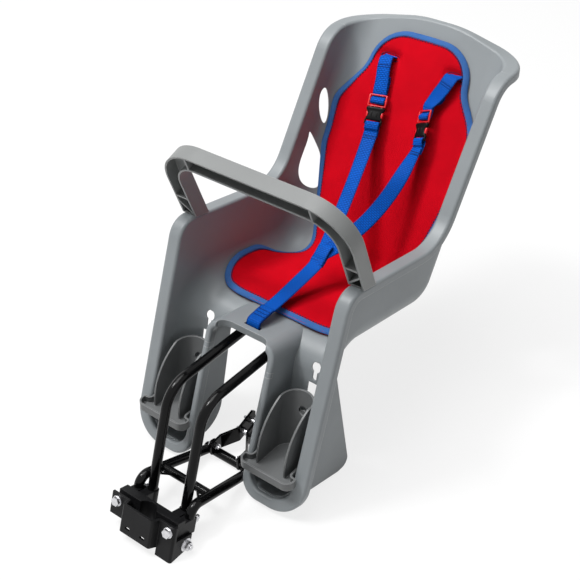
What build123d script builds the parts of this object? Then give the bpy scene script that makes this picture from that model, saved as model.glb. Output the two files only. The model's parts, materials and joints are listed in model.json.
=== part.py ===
"""Child bike seat for the rear of a bicycle.

A moulded bucket shell with leg guards carries a snap-in safety bar, hook-in footrests, a padded liner and a
harness. It stands on a steel carrier that clamps to the seat tube.

Millimetres. The origin is on the axis of the clamped seat tube, level with the clamp bolts.
+X is the child's left, +Y is the rear and +Z is up. Heights in the sizes below are above the ground.
"""

import os
from math import cos, radians, sin, tan

from build123d import *

# Stance on the ground
clamp_height = 46
clamp_lean = 18

# Seat shell: side view
wall = 3
pan_front = (254, 243)
pan_fall = 11
back_foot_y = 535
back_slope = 59.5
back_corner_height = 543
back_crown = 22
leg_front_foot = (147, 8)
leg_front_slope = 70.5
leg_wall_point = (274, 178)
leg_wall_slope = 77
leg_floor_height = 25
arm_height = 367
arm_fall = 10.5
wing_point = (587, 427)
wing_slope = 56.5
crease_radius = 60
knee_radius = 50
heel_radius = 46
wing_top_radius = 60
elbow_radius = 70
arm_front_radius = 35

# Seat shell: widths from the middle plane
side_inside = 147
side_radius = 40
leg_inside = 67
leg_brow_radius = 25

# Rolled rim
rim_width = 25
rim_depth = 14
rim_round = 5
rim_overlap = 6
leg_rim_inner_width = 12
leg_rim_joint_height = 200
leg_rim_corner = 34
crown_half_flat = 40
crown_half_foot = 140
crown_radius = 220

# Leg guard's outer panel and the tongue between the legs
panel_outline = [(244, 232), (268, 240), (312, 0), (284, 0), (184, 27)]
panel_corner_radius = 14
tongue_front = 246
notch_half = 50
notch_radius = 22
tongue_lip = 12

# Openings in the shell. Wing holes: up along the back from the crease, then forward round the rear corner.
# Shoulder slots: out from the middle, then down along the back from its corners
teardrop_hole = [(198, 31), (167, 30), (131, 28), (108, 6), (110, -14), (138, -13), (165, -4), (185, 12)]
lens_hole = [(277, 31), (250, 30), (221, 8), (254, 11)]
shoulder_slot = (65, 41)
crotch_slot_y = 261
slot_clearance = 6

# Footrests, hooked into keyholes in the back wall of each leg guard
foot_height = 72
tray_width = 76
tray_depth = 94
tray_gap = 10
tray_lip = 11
tray_front_half = 50
tray_front_depth = 21
tray_front_radius = 14
tray_shoulder_radius = 5
tray_rear_radius = 26
ankle_outside = 28
ankle_gap = 13
ankle_reach = 72
ankle_height = 96
ankle_brow = (-62, 68)
ankle_top_gap = 25
foot_hole_height = 60
foot_hole_radius = 8
sheet = 3
neck_radius = 3.7
head_radius = 7.2
head_thickness = 3.2
boss_gap = 1
play = 0.3
keyhole_radius = 8.5
keyhole_height = 71
keyhole_travel = 18
keyhole_pitch = 60
tab_width = 14
tab_height = 5
tab_slot = (20, 24)
tab_slot_height = 32

# Safety bar, a channel open to the front that snaps into the arms
bar_y = 318
bar_lean = 20.7
bar_rise = 145
bar_height = 28
bar_depth = 26
bar_corner = 58
bar_hole_x = 48
bar_hole_radius = 5
bar_rib_x = 113
tongue_size = (13, 16)
tongue_length = 12

# Seat tube clamp: distances behind the tube's axis, up along it and out from the middle
tube_radius = 15.9
plate = 4
clamp_gap = 3
hat_half = 30
ear_half = 64
ear_top = 12
hat_bottom = -36
hat_slot_at = -25
hat_slot = (10, 5)
left_ear_bottom = -26
bracket_half = 59.5
bracket_top = 14
bracket_bottom = -30
saddle_depth = 20
cheek_inside = 44
cheek_rear = 47
cheek_top = 8
cheek_bottom = -18
collar_behind = 50
collar_wall = 2
collar_bottom = -20
collar_top = 8
clamp_bolt_x = 52
m8 = 4
m8_across = 13
m8_head = 5.3
m8_nut = 6.5
m8_washer = 8.5
washer_thickness = 1.6
clamp_bolt_reach = 60
stud = (24, -28)
stud_reach = 76
stud_washer = 11
flange_rear = 36
flange_top = -14

# Steel tube of the carrier
pipe = 8
pipe_bore = 6.5
bow_half = 34
bow_bend = 50
bow_level = 206
bow_end_y = 500
bow_drop = 16
bow_sweep = 200
rail_half = 52.5
rail_rear_half = 43
rail_behind = 38.5
rail_rise = 27
rail_bend = 17
rail_fall = 19
rail_length = 156
cross_pipe = 7
front_cross_along = 48
gusset_leg = 25
gusset_hole_inset = 9
m6 = 3
m6_across = 10
m6_head = 4
m6_nut = 5
saddle_places = [380, 445]
saddle_size = (104, 22)
saddle_bolt_x = 14

# Rear stays: plan of one stay, side view of both, and the bolts between them
stay_plan = [(28, 178), (28, 202), (9, 227), (9, 268)]
stay_side = [(176, 14), (176, 36), (200, 38), (262, 60), (270, 54), (270, 34), (200, 12)]
stay_bolts_at = [(237, 34), (257, 43)]
lug_at = (189, 26)
lug_radius = 10

# Padded liner and harness
pad_lift = 1
pad_thickness = 12
pad_seat = [(80, 536), (137, 440), (137, 318)]
pad_seat_radii = [60, 65]
pad_back = [(80, 411), (139, 196), (139, 130), (97, 62), (92, 0)]
pad_back_radii = [60, 30, 60, 42]
pad_bounds = 40
webbing = 25
webbing_thick = 2
buckle_width = 33
upper_strap = 76
buckle_frame = 22
buckle_body = 30
buckle_thick = 9
frame_thick = 4
prong_length = 13
prong_out = 9
waist_radius = 9
strap_gap = 1
shoulder_end = (43, 157, 31)
junction = (432, 273)
retainer_size = (44, 18, 4)


def up(height):
    """Frame height of a point given above the ground."""
    return height - clamp_height


def slope_line(point, slope):
    """Side-view line through a point: gives y for a height, with the slope in degrees from level."""
    return lambda height: point[0] + (height - point[1]) / tan(radians(slope))


def crossing(point_a, slope_a, point_b, slope_b):
    """Side-view crossing of two lines, each given by a point and a slope in degrees."""
    grade_a = tan(radians(slope_a))
    grade_b = tan(radians(slope_b))
    y = (point_b[1] - point_a[1] + grade_a * point_a[0] - grade_b * point_b[0]) / (grade_a - grade_b)
    return y, point_a[1] + grade_a * (y - point_a[0])


def framed(points):
    """Side-view points above the ground, moved to the frame."""
    return [(y, up(height)) for y, height in points]


# Side-view corners of the shell's inside and of its rim line
leg_front_y = slope_line(leg_front_foot, leg_front_slope)
leg_wall_y = slope_line(leg_wall_point, leg_wall_slope)
knee = crossing(leg_wall_point, leg_wall_slope, pan_front, -pan_fall)
pan_rear_height = pan_front[1] - (back_foot_y - pan_front[0]) * tan(radians(pan_fall))
crease = (back_foot_y, pan_rear_height)
back_y = slope_line(crease, back_slope)
back_top_height = back_corner_height + back_crown
arm_front = (leg_front_y(arm_height), arm_height)
elbow = crossing(arm_front, -arm_fall, wing_point, wing_slope)
wing_top = (slope_line(wing_point, wing_slope)(back_corner_height), back_corner_height)
back_length = (back_corner_height - crease[1]) / sin(radians(back_slope))
rim_outside = side_inside + rim_width
rim_middle = side_inside + rim_width / 2
top_outside_y = back_y(back_corner_height) + rim_width
top_joint_y = wing_top[0] + wing_top_radius * tan(radians(wing_slope / 2)) + wall
far_front = leg_front_foot[0] - side_inside
far_top = back_top_height + 2 * rim_width
far_below = -2 * rim_width
leg_plane = Plane(
    origin=(0, leg_front_foot[0], up(leg_front_foot[1])),
    x_dir=(1, 0, 0),
    z_dir=(0, -sin(radians(leg_front_slope)), cos(radians(leg_front_slope))),
)


def along_leg(height):
    """Distance up the leg guard's front plane at a height above the ground."""
    return (height - leg_front_foot[1]) / sin(radians(leg_front_slope))


def bucket(grow):
    """The space inside the shell, or with grow the block that the shell is hollowed from."""
    with BuildPart() as block:
        with BuildSketch(Plane.YZ):
            with BuildLine():
                FilletPolyline(
                    framed(
                        [
                            (far_front, leg_floor_height),
                            (leg_wall_y(leg_floor_height), leg_floor_height),
                            knee,
                            crease,
                            (back_y(far_top), far_top),
                            (far_front, far_top),
                        ]
                    ),
                    radius=[0, heel_radius, knee_radius, crease_radius, 0, 0],
                    close=True,
                )
            make_face()
            if grow:
                offset(amount=grow, kind=Kind.INTERSECTION)
        extrude(amount=side_inside + grow, both=True)
        sides = block.faces().filter_by(Axis.X)
        open_edges = block.edges().group_by(Axis.Y)[0] + block.edges().group_by(Axis.Z)[-1]
        fillet([e for e in sides.edges() if e not in open_edges], side_radius + grow)
    return block.part


def between_legs(shrink):
    """The block between the leg guards, under the front of the pan."""
    half = leg_inside - shrink
    with BuildPart() as block:
        with BuildSketch(Plane.YZ):
            rear_y = knee[0] + 2 * knee_radius
            grade = tan(radians(pan_fall))
            top_front = pan_front[1] + (pan_front[0] - far_front) * grade - shrink / cos(radians(pan_fall))
            top_rear = top_front - (rear_y - far_front) * grade
            with BuildLine():
                Polyline(
                    framed(
                        [
                            (far_front, far_below),
                            (rear_y, far_below),
                            (rear_y, top_rear),
                            (far_front, top_front),
                        ]
                    ),
                    close=True,
                )
            make_face()
        extrude(amount=half, both=True)
        top = block.faces().sort_by(Axis.Z)[-1]
        fillet(top.edges().filter_by(lambda e: abs(e.center().X) > half / 2), leg_brow_radius - shrink)
    return block.part


with BuildPart() as room:
    add(bucket(0))
    add(between_legs(0), mode=Mode.SUBTRACT)

with BuildPart() as ahead:
    with BuildSketch(Plane.YZ):
        with BuildLine():
            FilletPolyline(
                framed(
                    [
                        (far_front - wall, -2 * rim_depth),
                        (leg_front_y(-2 * rim_depth), -2 * rim_depth),
                        arm_front,
                        elbow,
                        wing_top,
                        (top_joint_y, back_corner_height),
                        (top_joint_y, far_top + 2 * wall),
                        (far_front - wall, far_top + 2 * wall),
                    ]
                ),
                radius=[0, 0, arm_front_radius, elbow_radius, wing_top_radius, 0, 0, 0],
                close=True,
            )
        make_face()
        offset(amount=rim_depth - rim_overlap, kind=Kind.INTERSECTION)
    extrude(amount=2 * side_inside, both=True)


def crown_line(drop):
    """Front-view points along the top of the back, lowered by drop."""
    low = up(back_corner_height) - drop
    high = up(back_top_height) - drop
    return [
        (-2 * side_inside, low),
        (-crown_half_foot, low),
        (-crown_half_flat, high),
        (crown_half_flat, high),
        (crown_half_foot, low),
        (2 * side_inside, low),
    ]


def below_crown(drop, front_y):
    """Everything behind front_y that lies under the crown line lowered by drop."""
    with BuildPart() as block:
        with BuildSketch(Plane.XZ.offset(-front_y)):
            with BuildLine():
                FilletPolyline(
                    crown_line(drop) + [(2 * side_inside, -far_top), (-2 * side_inside, -far_top)],
                    radius=[0] + [crown_radius] * 4 + [0, 0, 0],
                    close=True,
                )
            make_face()
        extrude(amount=-2 * far_top)
    return block.part


def top_plan(inset):
    """The top rim's outline from above, as a tall block."""
    half = rim_outside - inset
    rear = top_outside_y - inset
    corner = side_radius + rim_width - inset
    with BuildPart() as block:
        with BuildSketch():
            with BuildLine():
                FilletPolyline(
                    [(-half, far_front), (-half, rear), (half, rear), (half, far_front)],
                    radius=[0, corner, corner, 0],
                    close=True,
                )
            make_face()
        extrude(amount=far_top, both=True)
    return block.part


with BuildPart() as top_hollow:
    add(top_plan(wall))
    add(below_crown(wall, top_joint_y), mode=Mode.INTERSECT)
    add(bucket(wall), mode=Mode.SUBTRACT)

with BuildPart() as top_rim:
    add(top_plan(0))
    add(below_crown(0, top_joint_y), mode=Mode.INTERSECT)
    add(room.part, mode=Mode.SUBTRACT)
    crown_faces = top_rim.faces().filter_by(lambda f: f.normal_at().Z > cos(radians(45)))
    crown_edges = [e for f in crown_faces for e in f.edges()]
    end_edges = top_rim.faces().group_by(Axis.Y)[0].edges()
    fillet([e for e in crown_edges if crown_edges.count(e) == 1 and e not in end_edges], rim_round)
    add(below_crown(rim_depth, top_joint_y), mode=Mode.SUBTRACT)
    add(top_hollow.part, mode=Mode.SUBTRACT)

with BuildPart() as wing_rim:
    with BuildLine(Plane.YZ) as rim_path:
        FilletPolyline(
            framed(
                [
                    (top_joint_y, back_corner_height),
                    wing_top,
                    elbow,
                    arm_front,
                    (leg_front_y(leg_rim_joint_height), leg_rim_joint_height),
                ]
            ),
            radius=[wing_top_radius, elbow_radius, arm_front_radius],
        )
    rim_plane = Plane(origin=rim_path.line @ 0, x_dir=(1, 0, 0), z_dir=rim_path.line % 0)
    with BuildSketch(rim_plane) as rim_section:
        with Locations((rim_middle, -rim_depth / 2)):
            Rectangle(rim_width, rim_depth)
        fillet(rim_section.vertices().group_by(Axis.Y)[-1], rim_round)
        with Locations((rim_middle, -rim_depth / 2 - wall)):
            Rectangle(rim_width - 2 * wall, rim_depth, mode=Mode.SUBTRACT)
    sweep(sections=rim_section.sketch, path=rim_path.line)
    mirror(about=Plane.YZ)


def leg_outline(inner, outer, foot, inner_corner, outer_corner):
    """A leg guard's outline in its front plane, open to the top."""
    top = along_leg(leg_rim_joint_height)
    with BuildSketch(leg_plane) as outline:
        with BuildLine():
            FilletPolyline(
                [(inner, top), (inner, foot), (outer, foot), (outer, top)],
                radius=[0, inner_corner, outer_corner, 0],
                close=True,
            )
        make_face()
    return outline.sketch


leg_foot = along_leg(leg_floor_height)
leg_rim_inside = leg_inside - leg_rim_inner_width
leg_side_corner = side_radius + leg_foot
opening_corner = leg_rim_corner - leg_rim_inner_width / 2
with BuildPart() as leg_hollow:
    extrude(
        leg_outline(
            leg_rim_inside + wall, rim_outside - wall, wall, leg_rim_corner - wall, leg_side_corner - wall
        ),
        amount=-2 * rim_depth,
    )
    extrude(
        leg_outline(
            leg_inside - wall, side_inside + wall, leg_foot - wall, opening_corner + wall, side_radius + wall
        ),
        amount=-2 * rim_depth,
        mode=Mode.SUBTRACT,
    )
with BuildPart() as leg_rim:
    extrude(leg_outline(leg_rim_inside, rim_outside, 0, leg_rim_corner, leg_side_corner), amount=-rim_depth)
    extrude(
        leg_outline(leg_inside, side_inside, leg_foot, opening_corner, side_radius),
        amount=-rim_depth,
        mode=Mode.SUBTRACT,
    )
    front_face = leg_rim.faces().sort_by(Axis((0, 0, 0), leg_plane.z_dir))[-1]
    joint_edges = front_face.edges().group_by(Axis((0, 0, 0), leg_plane.y_dir))[-1]
    fillet([e for e in front_face.edges() if e not in joint_edges], rim_round)
    add(leg_hollow.part.moved(Location(-wall * leg_plane.z_dir)), mode=Mode.SUBTRACT)
    mirror(about=Plane.YZ)

# The rim goes on over the block between the legs
with BuildPart() as brow_hollow:
    with BuildSketch(leg_plane.offset(-wall)):
        with Locations((0, along_leg(arm_height))):
            Rectangle(2 * leg_inside, 2 * along_leg(arm_height - leg_rim_joint_height))
    extrude(amount=-rim_depth)
    add(between_legs(wall), mode=Mode.INTERSECT)
    add(between_legs(leg_rim_inner_width - wall), mode=Mode.SUBTRACT)
with BuildPart() as brow_rim:
    with BuildSketch(leg_plane):
        with Locations((0, along_leg(arm_height))):
            Rectangle(2 * leg_inside, 2 * along_leg(arm_height - leg_rim_joint_height))
    extrude(amount=-rim_depth)
    add(between_legs(0), mode=Mode.INTERSECT)
    add(between_legs(leg_rim_inner_width), mode=Mode.SUBTRACT)
    brow_face = brow_rim.faces().sort_by(Axis((0, 0, 0), leg_plane.z_dir))[-1]
    foot_edges = brow_face.edges().group_by(Axis((0, 0, 0), leg_plane.y_dir))[0]
    fillet([e for e in brow_face.edges() if e not in foot_edges], rim_round)
    add(brow_hollow.part, mode=Mode.SUBTRACT)

back_plane = Plane(
    origin=(0, crease[0], up(crease[1])),
    x_dir=(1, 0, 0),
    z_dir=(0, -sin(radians(back_slope)), cos(radians(back_slope))),
)
corner_plane = Plane(
    origin=(side_inside, crease[0], up(crease[1])),
    x_dir=back_plane.y_dir,
    z_dir=Vector(1, 0, 0) - back_plane.z_dir,
)
wall_plane = Plane(
    origin=(0, leg_wall_y(foot_height), up(foot_height)),
    x_dir=(1, 0, 0),
    z_dir=(0, -sin(radians(leg_wall_slope)), cos(radians(leg_wall_slope))),
)
arm_plane = Plane(
    origin=(0, bar_y, up(arm_front[1] - (bar_y - arm_front[0]) * tan(radians(arm_fall)))),
    x_dir=(1, 0, 0),
    z_dir=(0, sin(radians(arm_fall)), cos(radians(arm_fall))),
)
pan_plane = Plane(
    origin=(0, pan_front[0], up(pan_front[1])),
    x_dir=(1, 0, 0),
    z_dir=(0, sin(radians(pan_fall)), cos(radians(pan_fall))),
)
leg_middle = (leg_inside + side_inside) / 2
slot_at = (shoulder_slot[0], back_length - shoulder_slot[1])


def along_pan(y):
    """Distance along the pan, rearward of its front, at a y."""
    return (y - pan_front[0]) / cos(radians(pan_fall))


with BuildPart() as fin:
    with BuildSketch(Plane.YZ.offset(side_inside)) as fin_side:
        with BuildLine():
            FilletPolyline(
                framed(panel_outline),
                radius=[panel_corner_radius] * len(panel_outline),
                close=True,
            )
        make_face()
    extrude(amount=wall)
    mirror(about=Plane.YZ)

with BuildPart() as shell_openings:
    for outline in (teardrop_hole, lens_hole):
        with BuildSketch(corner_plane):
            with BuildLine():
                Spline(outline, periodic=True)
            make_face()
        extrude(amount=2 * side_radius, both=True)
    with BuildSketch(back_plane):
        with Locations(slot_at):
            Rectangle(webbing + slot_clearance, webbing_thick + slot_clearance)
    extrude(amount=2 * wall, both=True)
    with BuildSketch(wall_plane):
        for step in (0, keyhole_pitch):
            with Locations((leg_middle, keyhole_height + step)):
                Circle(keyhole_radius)
            with Locations((leg_middle, keyhole_height - keyhole_travel / 2 + step)):
                SlotCenterToCenter(keyhole_travel, 2 * (neck_radius + play), rotation=90)
            with Locations((leg_middle, tab_slot_height + step)):
                RectangleRounded(*tab_slot, wall / 2)
    extrude(amount=2 * wall, both=True)
    with BuildSketch(arm_plane):
        with Locations((rim_middle, 0)):
            Rectangle(tongue_size[0] + 2 * play, tongue_size[1] + 2 * play)
    extrude(amount=-2 * wall)
    mirror(about=Plane.YZ)
    with BuildSketch(pan_plane):
        with Locations((0, along_pan(crotch_slot_y))):
            Rectangle(webbing + slot_clearance, webbing_thick + slot_clearance)
        with Locations([(x, along_pan(y)) for x in (-saddle_bolt_x, saddle_bolt_x) for y in saddle_places]):
            Circle(m6)
    extrude(amount=-2 * wall)


def notch(grow):
    """The notch in front of the tongue, as a tall block."""
    with BuildPart() as block:
        with BuildSketch(Plane.XY.offset(up(pan_front[1]) - knee_radius)):
            with Locations((0, tongue_front - notch_half)):
                RectangleRounded(2 * (notch_half + grow), 2 * (notch_half + grow), notch_radius + grow)
        extrude(amount=2 * knee_radius)
    return block.part


with BuildPart() as notch_edge:
    add(notch(wall))
    add(between_legs(0), mode=Mode.INTERSECT)
    add(between_legs(tongue_lip), mode=Mode.SUBTRACT)
    with BuildSketch(leg_plane.offset(-rim_round)):
        Rectangle(2 * rim_outside, 4 * arm_height)
    extrude(amount=far_top, mode=Mode.SUBTRACT)
    add(notch(0), mode=Mode.SUBTRACT)

with BuildPart() as seat_shell:
    add(bucket(wall))
    add(between_legs(wall), mode=Mode.SUBTRACT)
    add(room.part, mode=Mode.SUBTRACT)
    add(ahead.part, mode=Mode.SUBTRACT)
    add(below_crown(rim_depth - rim_overlap, far_front - 2 * wall), mode=Mode.INTERSECT)
    add(top_rim.part)
    add(wing_rim.part)
    add(leg_rim.part)
    add(brow_rim.part)
    add(fin.part)
    add(shell_openings.part, mode=Mode.SUBTRACT)
    add(notch(0), mode=Mode.SUBTRACT)
    add(notch_edge.part)

# Safety bar
bar_plane = Plane(
    origin=arm_plane.origin,
    x_dir=(1, 0, 0),
    z_dir=(0, -cos(radians(bar_lean)), -sin(radians(bar_lean))),
)


def bar_sweep(height, depth):
    """A block swept along the bar's arch, from below the arms."""
    foot = -bar_height
    with BuildPart() as arch:
        with BuildLine(bar_plane) as path:
            FilletPolyline(
                [(rim_middle, foot), (rim_middle, bar_rise), (-rim_middle, bar_rise), (-rim_middle, foot)],
                radius=bar_corner,
            )
        with BuildSketch(Plane(origin=path.line @ 0, x_dir=(1, 0, 0), z_dir=path.line % 0)):
            with Locations((0, (bar_depth - depth) / 2 - (bar_depth - depth))):
                Rectangle(height, depth)
        sweep()
    return arch.part


bar_core = bar_sweep(bar_height, bar_depth)
with BuildPart() as bar_ribs:
    with BuildSketch(bar_plane):
        with Locations((bar_rib_x, bar_rise), (-bar_rib_x, bar_rise)):
            Rectangle(sheet, 2 * bar_height)
        for side in (-1, 1):
            with Locations((side * rim_middle, bar_rise / 3)):
                Rectangle(2 * bar_height, sheet)
            with Locations(Location((side * rim_middle, bar_rise / 6), side * 45)):
                Rectangle(2 * bar_height, sheet)
    extrude(amount=bar_depth, both=True)
    add(bar_core, mode=Mode.INTERSECT)

with BuildPart() as safety_bar:
    add(bar_core)
    add(bar_sweep(bar_height - 2 * sheet, bar_depth - sheet), mode=Mode.SUBTRACT)
    add(bar_ribs.part)
    with BuildSketch(arm_plane):
        with Locations((rim_middle, 0), (-rim_middle, 0)):
            Rectangle(bar_height, bar_depth + sheet)
    extrude(amount=sheet)
    with BuildSketch(bar_plane):
        with Locations((bar_hole_x, bar_rise), (-bar_hole_x, bar_rise)):
            Circle(bar_hole_radius)
    extrude(amount=bar_depth, both=True, mode=Mode.SUBTRACT)
    with BuildSketch(arm_plane):
        Rectangle(4 * rim_middle, 4 * bar_height)
    extrude(amount=-2 * bar_height, mode=Mode.SUBTRACT)
    with BuildSketch(arm_plane):
        with Locations((rim_middle, 0), (-rim_middle, 0)):
            Rectangle(*tongue_size)
    extrude(amount=-tongue_length)

# Footrests: a level tray and an ankle wall that leans back with the leg guard
tray_plane = Plane.XY.move(Location((leg_middle, leg_wall_y(foot_height), up(foot_height))))
ankle_plane = Plane(origin=tray_plane.origin, x_dir=(1, 0, 0), z_dir=wall_plane.y_dir)
foot_side_plane = Plane(origin=tray_plane.origin, x_dir=(0, 1, 0), z_dir=(1, 0, 0))
stud_height = keyhole_height - keyhole_travel


def tray_sketch(inset):
    """The tray's outline, wider in front of the leg guard, inset from its edge."""
    front = -tray_gap - tray_depth
    front_half = tray_front_half - inset
    rear_half = tray_width / 2 - inset
    shoulder = front + tray_front_depth - inset
    side = [
        (front_half, front + inset),
        (front_half, shoulder),
        (rear_half, shoulder),
        (rear_half, -tray_gap - inset),
    ]
    radii = [
        tray_front_radius - inset,
        tray_shoulder_radius - inset,
        tray_shoulder_radius + inset,
        tray_rear_radius - inset,
    ]
    with BuildSketch(tray_plane) as outline:
        with BuildLine():
            FilletPolyline(
                side + [(-x, y) for x, y in reversed(side)],
                radius=radii + radii[::-1],
                close=True,
            )
        make_face()
    return outline.sketch


def ankle_sketch(inset):
    """The ankle wall's outline along its lean, round at the heel and open to the front."""
    radius = ankle_outside - inset
    with BuildSketch(ankle_plane) as outline:
        with Locations((0, -ankle_gap - ankle_outside)):
            Circle(radius)
        with Locations((0, -ankle_gap - ankle_outside - ankle_reach / 2)):
            Rectangle(2 * radius, ankle_reach)
    return outline.sketch


with BuildPart() as footrest_left:
    extrude(tray_sketch(0), amount=tray_lip)
    extrude(tray_sketch(sheet), amount=tray_lip, mode=Mode.SUBTRACT)
    extrude(tray_sketch(0), amount=-sheet)
with BuildPart() as ankle_wall:
    extrude(ankle_sketch(0), amount=2 * ankle_height, both=True)
    extrude(ankle_sketch(sheet), amount=2 * ankle_height, both=True, mode=Mode.SUBTRACT)
    with BuildSketch(foot_side_plane):
        front = -ankle_gap - ankle_reach
        with BuildLine():
            ThreePointArc((front, 0), ankle_brow, (-ankle_top_gap, ankle_height))
            Polyline((-ankle_top_gap, ankle_height), (tray_depth, ankle_height), (tray_depth, 0), (front, 0))
        make_face()
    extrude(amount=tray_width, both=True, mode=Mode.INTERSECT)
    with BuildSketch(wall_plane):
        with Locations((leg_middle, foot_hole_height)):
            Circle(foot_hole_radius)
    extrude(amount=ankle_gap + 2 * sheet, mode=Mode.SUBTRACT)
with footrest_left:
    add(ankle_wall.part)
    with BuildSketch(wall_plane.offset(boss_gap)):
        with Locations((leg_middle, stud_height)):
            Circle(head_radius)
    extrude(amount=ankle_gap + sheet / 2 - boss_gap)
    with BuildSketch(wall_plane.offset(boss_gap)):
        with Locations((leg_middle, stud_height)):
            Circle(neck_radius)
    extrude(amount=-wall - boss_gap - play)
    with BuildSketch(wall_plane.offset(-wall - play)):
        with Locations((leg_middle, stud_height)):
            Circle(head_radius)
    extrude(amount=-head_thickness)
    with BuildSketch(wall_plane.offset(-wall)):
        with Locations((leg_middle, tab_slot_height - tab_slot[1] / 2 + tab_height)):
            Rectangle(tab_width, tab_height)
    extrude(amount=wall + ankle_gap + sheet / 2)
with BuildPart() as footrest_right:
    mirror(footrest_left.part, about=Plane.YZ)


# Seat tube clamp
tube_plane = Plane(
    origin=(0, 0, 0),
    x_dir=(1, 0, 0),
    z_dir=(0, sin(radians(clamp_lean)), cos(radians(clamp_lean))),
)
face_plane = Plane(origin=(0, 0, 0), x_dir=(1, 0, 0), z_dir=-tube_plane.y_dir)
side_plane = Plane(origin=(0, 0, 0), x_dir=tube_plane.y_dir, z_dir=(1, 0, 0))
right_ear_bottom = -(clamp_height + clamp_gap * sin(radians(clamp_lean))) / cos(radians(clamp_lean))


def on_clamp(x, behind, along):
    """A frame point from its place across, behind and up along the seat tube."""
    return tube_plane.from_local_coords((x, behind, along))


with BuildPart() as front_clamp_plate:
    with BuildSketch(tube_plane.offset(right_ear_bottom)):
        inner = tube_radius + play
        outer = inner + plate
        ear_front = clamp_gap + plate
        with BuildLine():
            FilletPolyline(
                [
                    (-ear_half, -clamp_gap),
                    (-ear_half, -ear_front),
                    (-hat_half - plate, -ear_front),
                    (-hat_half, -outer),
                    (hat_half, -outer),
                    (hat_half + plate, -ear_front),
                    (ear_half, -ear_front),
                    (ear_half, flange_rear),
                    (ear_half - plate, flange_rear),
                    (ear_half - plate, -clamp_gap),
                    (hat_half, -clamp_gap),
                    (hat_half - plate, -inner),
                    (plate - hat_half, -inner),
                    (-hat_half, -clamp_gap),
                ],
                radius=[0, 0, 1, plate, plate, 1, plate, 0, 0, 0, plate, 1, 1, plate],
                close=True,
            )
        make_face()
    extrude(amount=ear_top - right_ear_bottom)
    with BuildSketch(face_plane) as trims:
        with BuildLine():
            Polyline(
                [
                    (-2 * ear_half, left_ear_bottom),
                    (-hat_half - plate, left_ear_bottom),
                    (-hat_half - plate, hat_bottom),
                    (hat_half + plate, hat_bottom),
                    (hat_half + plate, 2 * right_ear_bottom),
                    (-2 * ear_half, 2 * right_ear_bottom),
                ],
                close=True,
            )
        make_face()
    extrude(amount=ear_half, both=True, mode=Mode.SUBTRACT)
    with BuildSketch(side_plane.offset(ear_half - 2 * plate)):
        with BuildLine():
            Polyline(
                [(0, flange_top), (2 * flange_rear, flange_top), (2 * flange_rear, ear_half), (0, ear_half)],
                close=True,
            )
        make_face()
    extrude(amount=3 * plate, mode=Mode.SUBTRACT)
    with BuildSketch(face_plane):
        with Locations((clamp_bolt_x, 0), (-clamp_bolt_x, 0)):
            Circle(m8 + play)
        with Locations((-hat_half / 2, hat_slot_at), (hat_half / 2, hat_slot_at)):
            SlotOverall(*hat_slot)
    extrude(amount=ear_half, both=True, mode=Mode.SUBTRACT)
    with BuildSketch(side_plane):
        with Locations(stud):
            Circle(m8 + play)
    extrude(amount=2 * ear_half, mode=Mode.SUBTRACT)
    with BuildSketch(Plane.XY.offset(up(0))):
        Rectangle(4 * ear_half, 4 * ear_half)
    extrude(amount=-clamp_height, mode=Mode.SUBTRACT)

with BuildPart() as rear_clamp_bracket:
    with BuildSketch(tube_plane.offset(bracket_bottom)):
        with Locations((0, (clamp_gap + saddle_depth) / 2)):
            Rectangle(2 * bracket_half, saddle_depth - clamp_gap)
        Circle(tube_radius, mode=Mode.SUBTRACT)
    extrude(amount=bracket_top - bracket_bottom)
    with BuildSketch(tube_plane.offset(cheek_bottom)):
        for side in (-1, 1):
            with Locations((side * (cheek_inside + bracket_half) / 2, (saddle_depth + cheek_rear) / 2)):
                Rectangle(bracket_half - cheek_inside, cheek_rear - saddle_depth)
    extrude(amount=cheek_top - cheek_bottom)
    with BuildSketch(tube_plane.offset(collar_bottom)):
        for x in (-bow_half, bow_half):
            with Locations((x, collar_behind)):
                Circle(pipe + collar_wall)
            with Locations((x, (saddle_depth + collar_behind) / 2)):
                Rectangle(2 * pipe, collar_behind - saddle_depth)
    extrude(amount=collar_top - collar_bottom)
    with BuildSketch(tube_plane.offset(collar_bottom)):
        with Locations((bow_half, collar_behind), (-bow_half, collar_behind)):
            Circle(pipe)
    extrude(amount=collar_top - collar_bottom, mode=Mode.SUBTRACT)
    with BuildSketch(side_plane.offset(cheek_inside)):
        with Locations(stud):
            Circle(stud_washer)
        with Locations((stud[0], (stud[1] + cheek_bottom) / 2)):
            Rectangle(2 * stud_washer, cheek_bottom - stud[1])
    extrude(amount=bracket_half - cheek_inside)
    with BuildSketch(face_plane):
        with Locations((clamp_bolt_x, 0), (-clamp_bolt_x, 0)):
            Circle(m8 + play)
    extrude(amount=-2 * ear_half, mode=Mode.SUBTRACT)
    with BuildSketch(side_plane):
        with Locations(stud):
            Circle(m8)
    extrude(amount=2 * ear_half, mode=Mode.SUBTRACT)


def hex_bolt(plane, radius, length, size, head):
    """A hexagon bolt: its head stands on the plane and its shank goes down."""
    with BuildPart() as bolt:
        with BuildSketch(plane):
            RegularPolygon(size / 2, 6, major_radius=False)
        extrude(amount=head)
        with BuildSketch(plane):
            Circle(radius)
        extrude(amount=-length)
    return bolt.part


def hex_nut(plane, bore, size, height):
    """A hexagon nut standing on the plane."""
    with BuildPart() as nut:
        with BuildSketch(plane):
            RegularPolygon(size / 2, 6, major_radius=False)
            Circle(bore, mode=Mode.SUBTRACT)
        extrude(amount=height)
    return nut.part


def washer(plane, bore, radius):
    """A flat washer standing on the plane."""
    with BuildPart() as ring:
        with BuildSketch(plane):
            Circle(radius)
            Circle(bore, mode=Mode.SUBTRACT)
        extrude(amount=washer_thickness)
    return ring.part


def turned(plane, origin, z_dir):
    """A plane through an origin with its own normal."""
    return Plane(origin=origin, x_dir=plane.x_dir, z_dir=z_dir)


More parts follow.
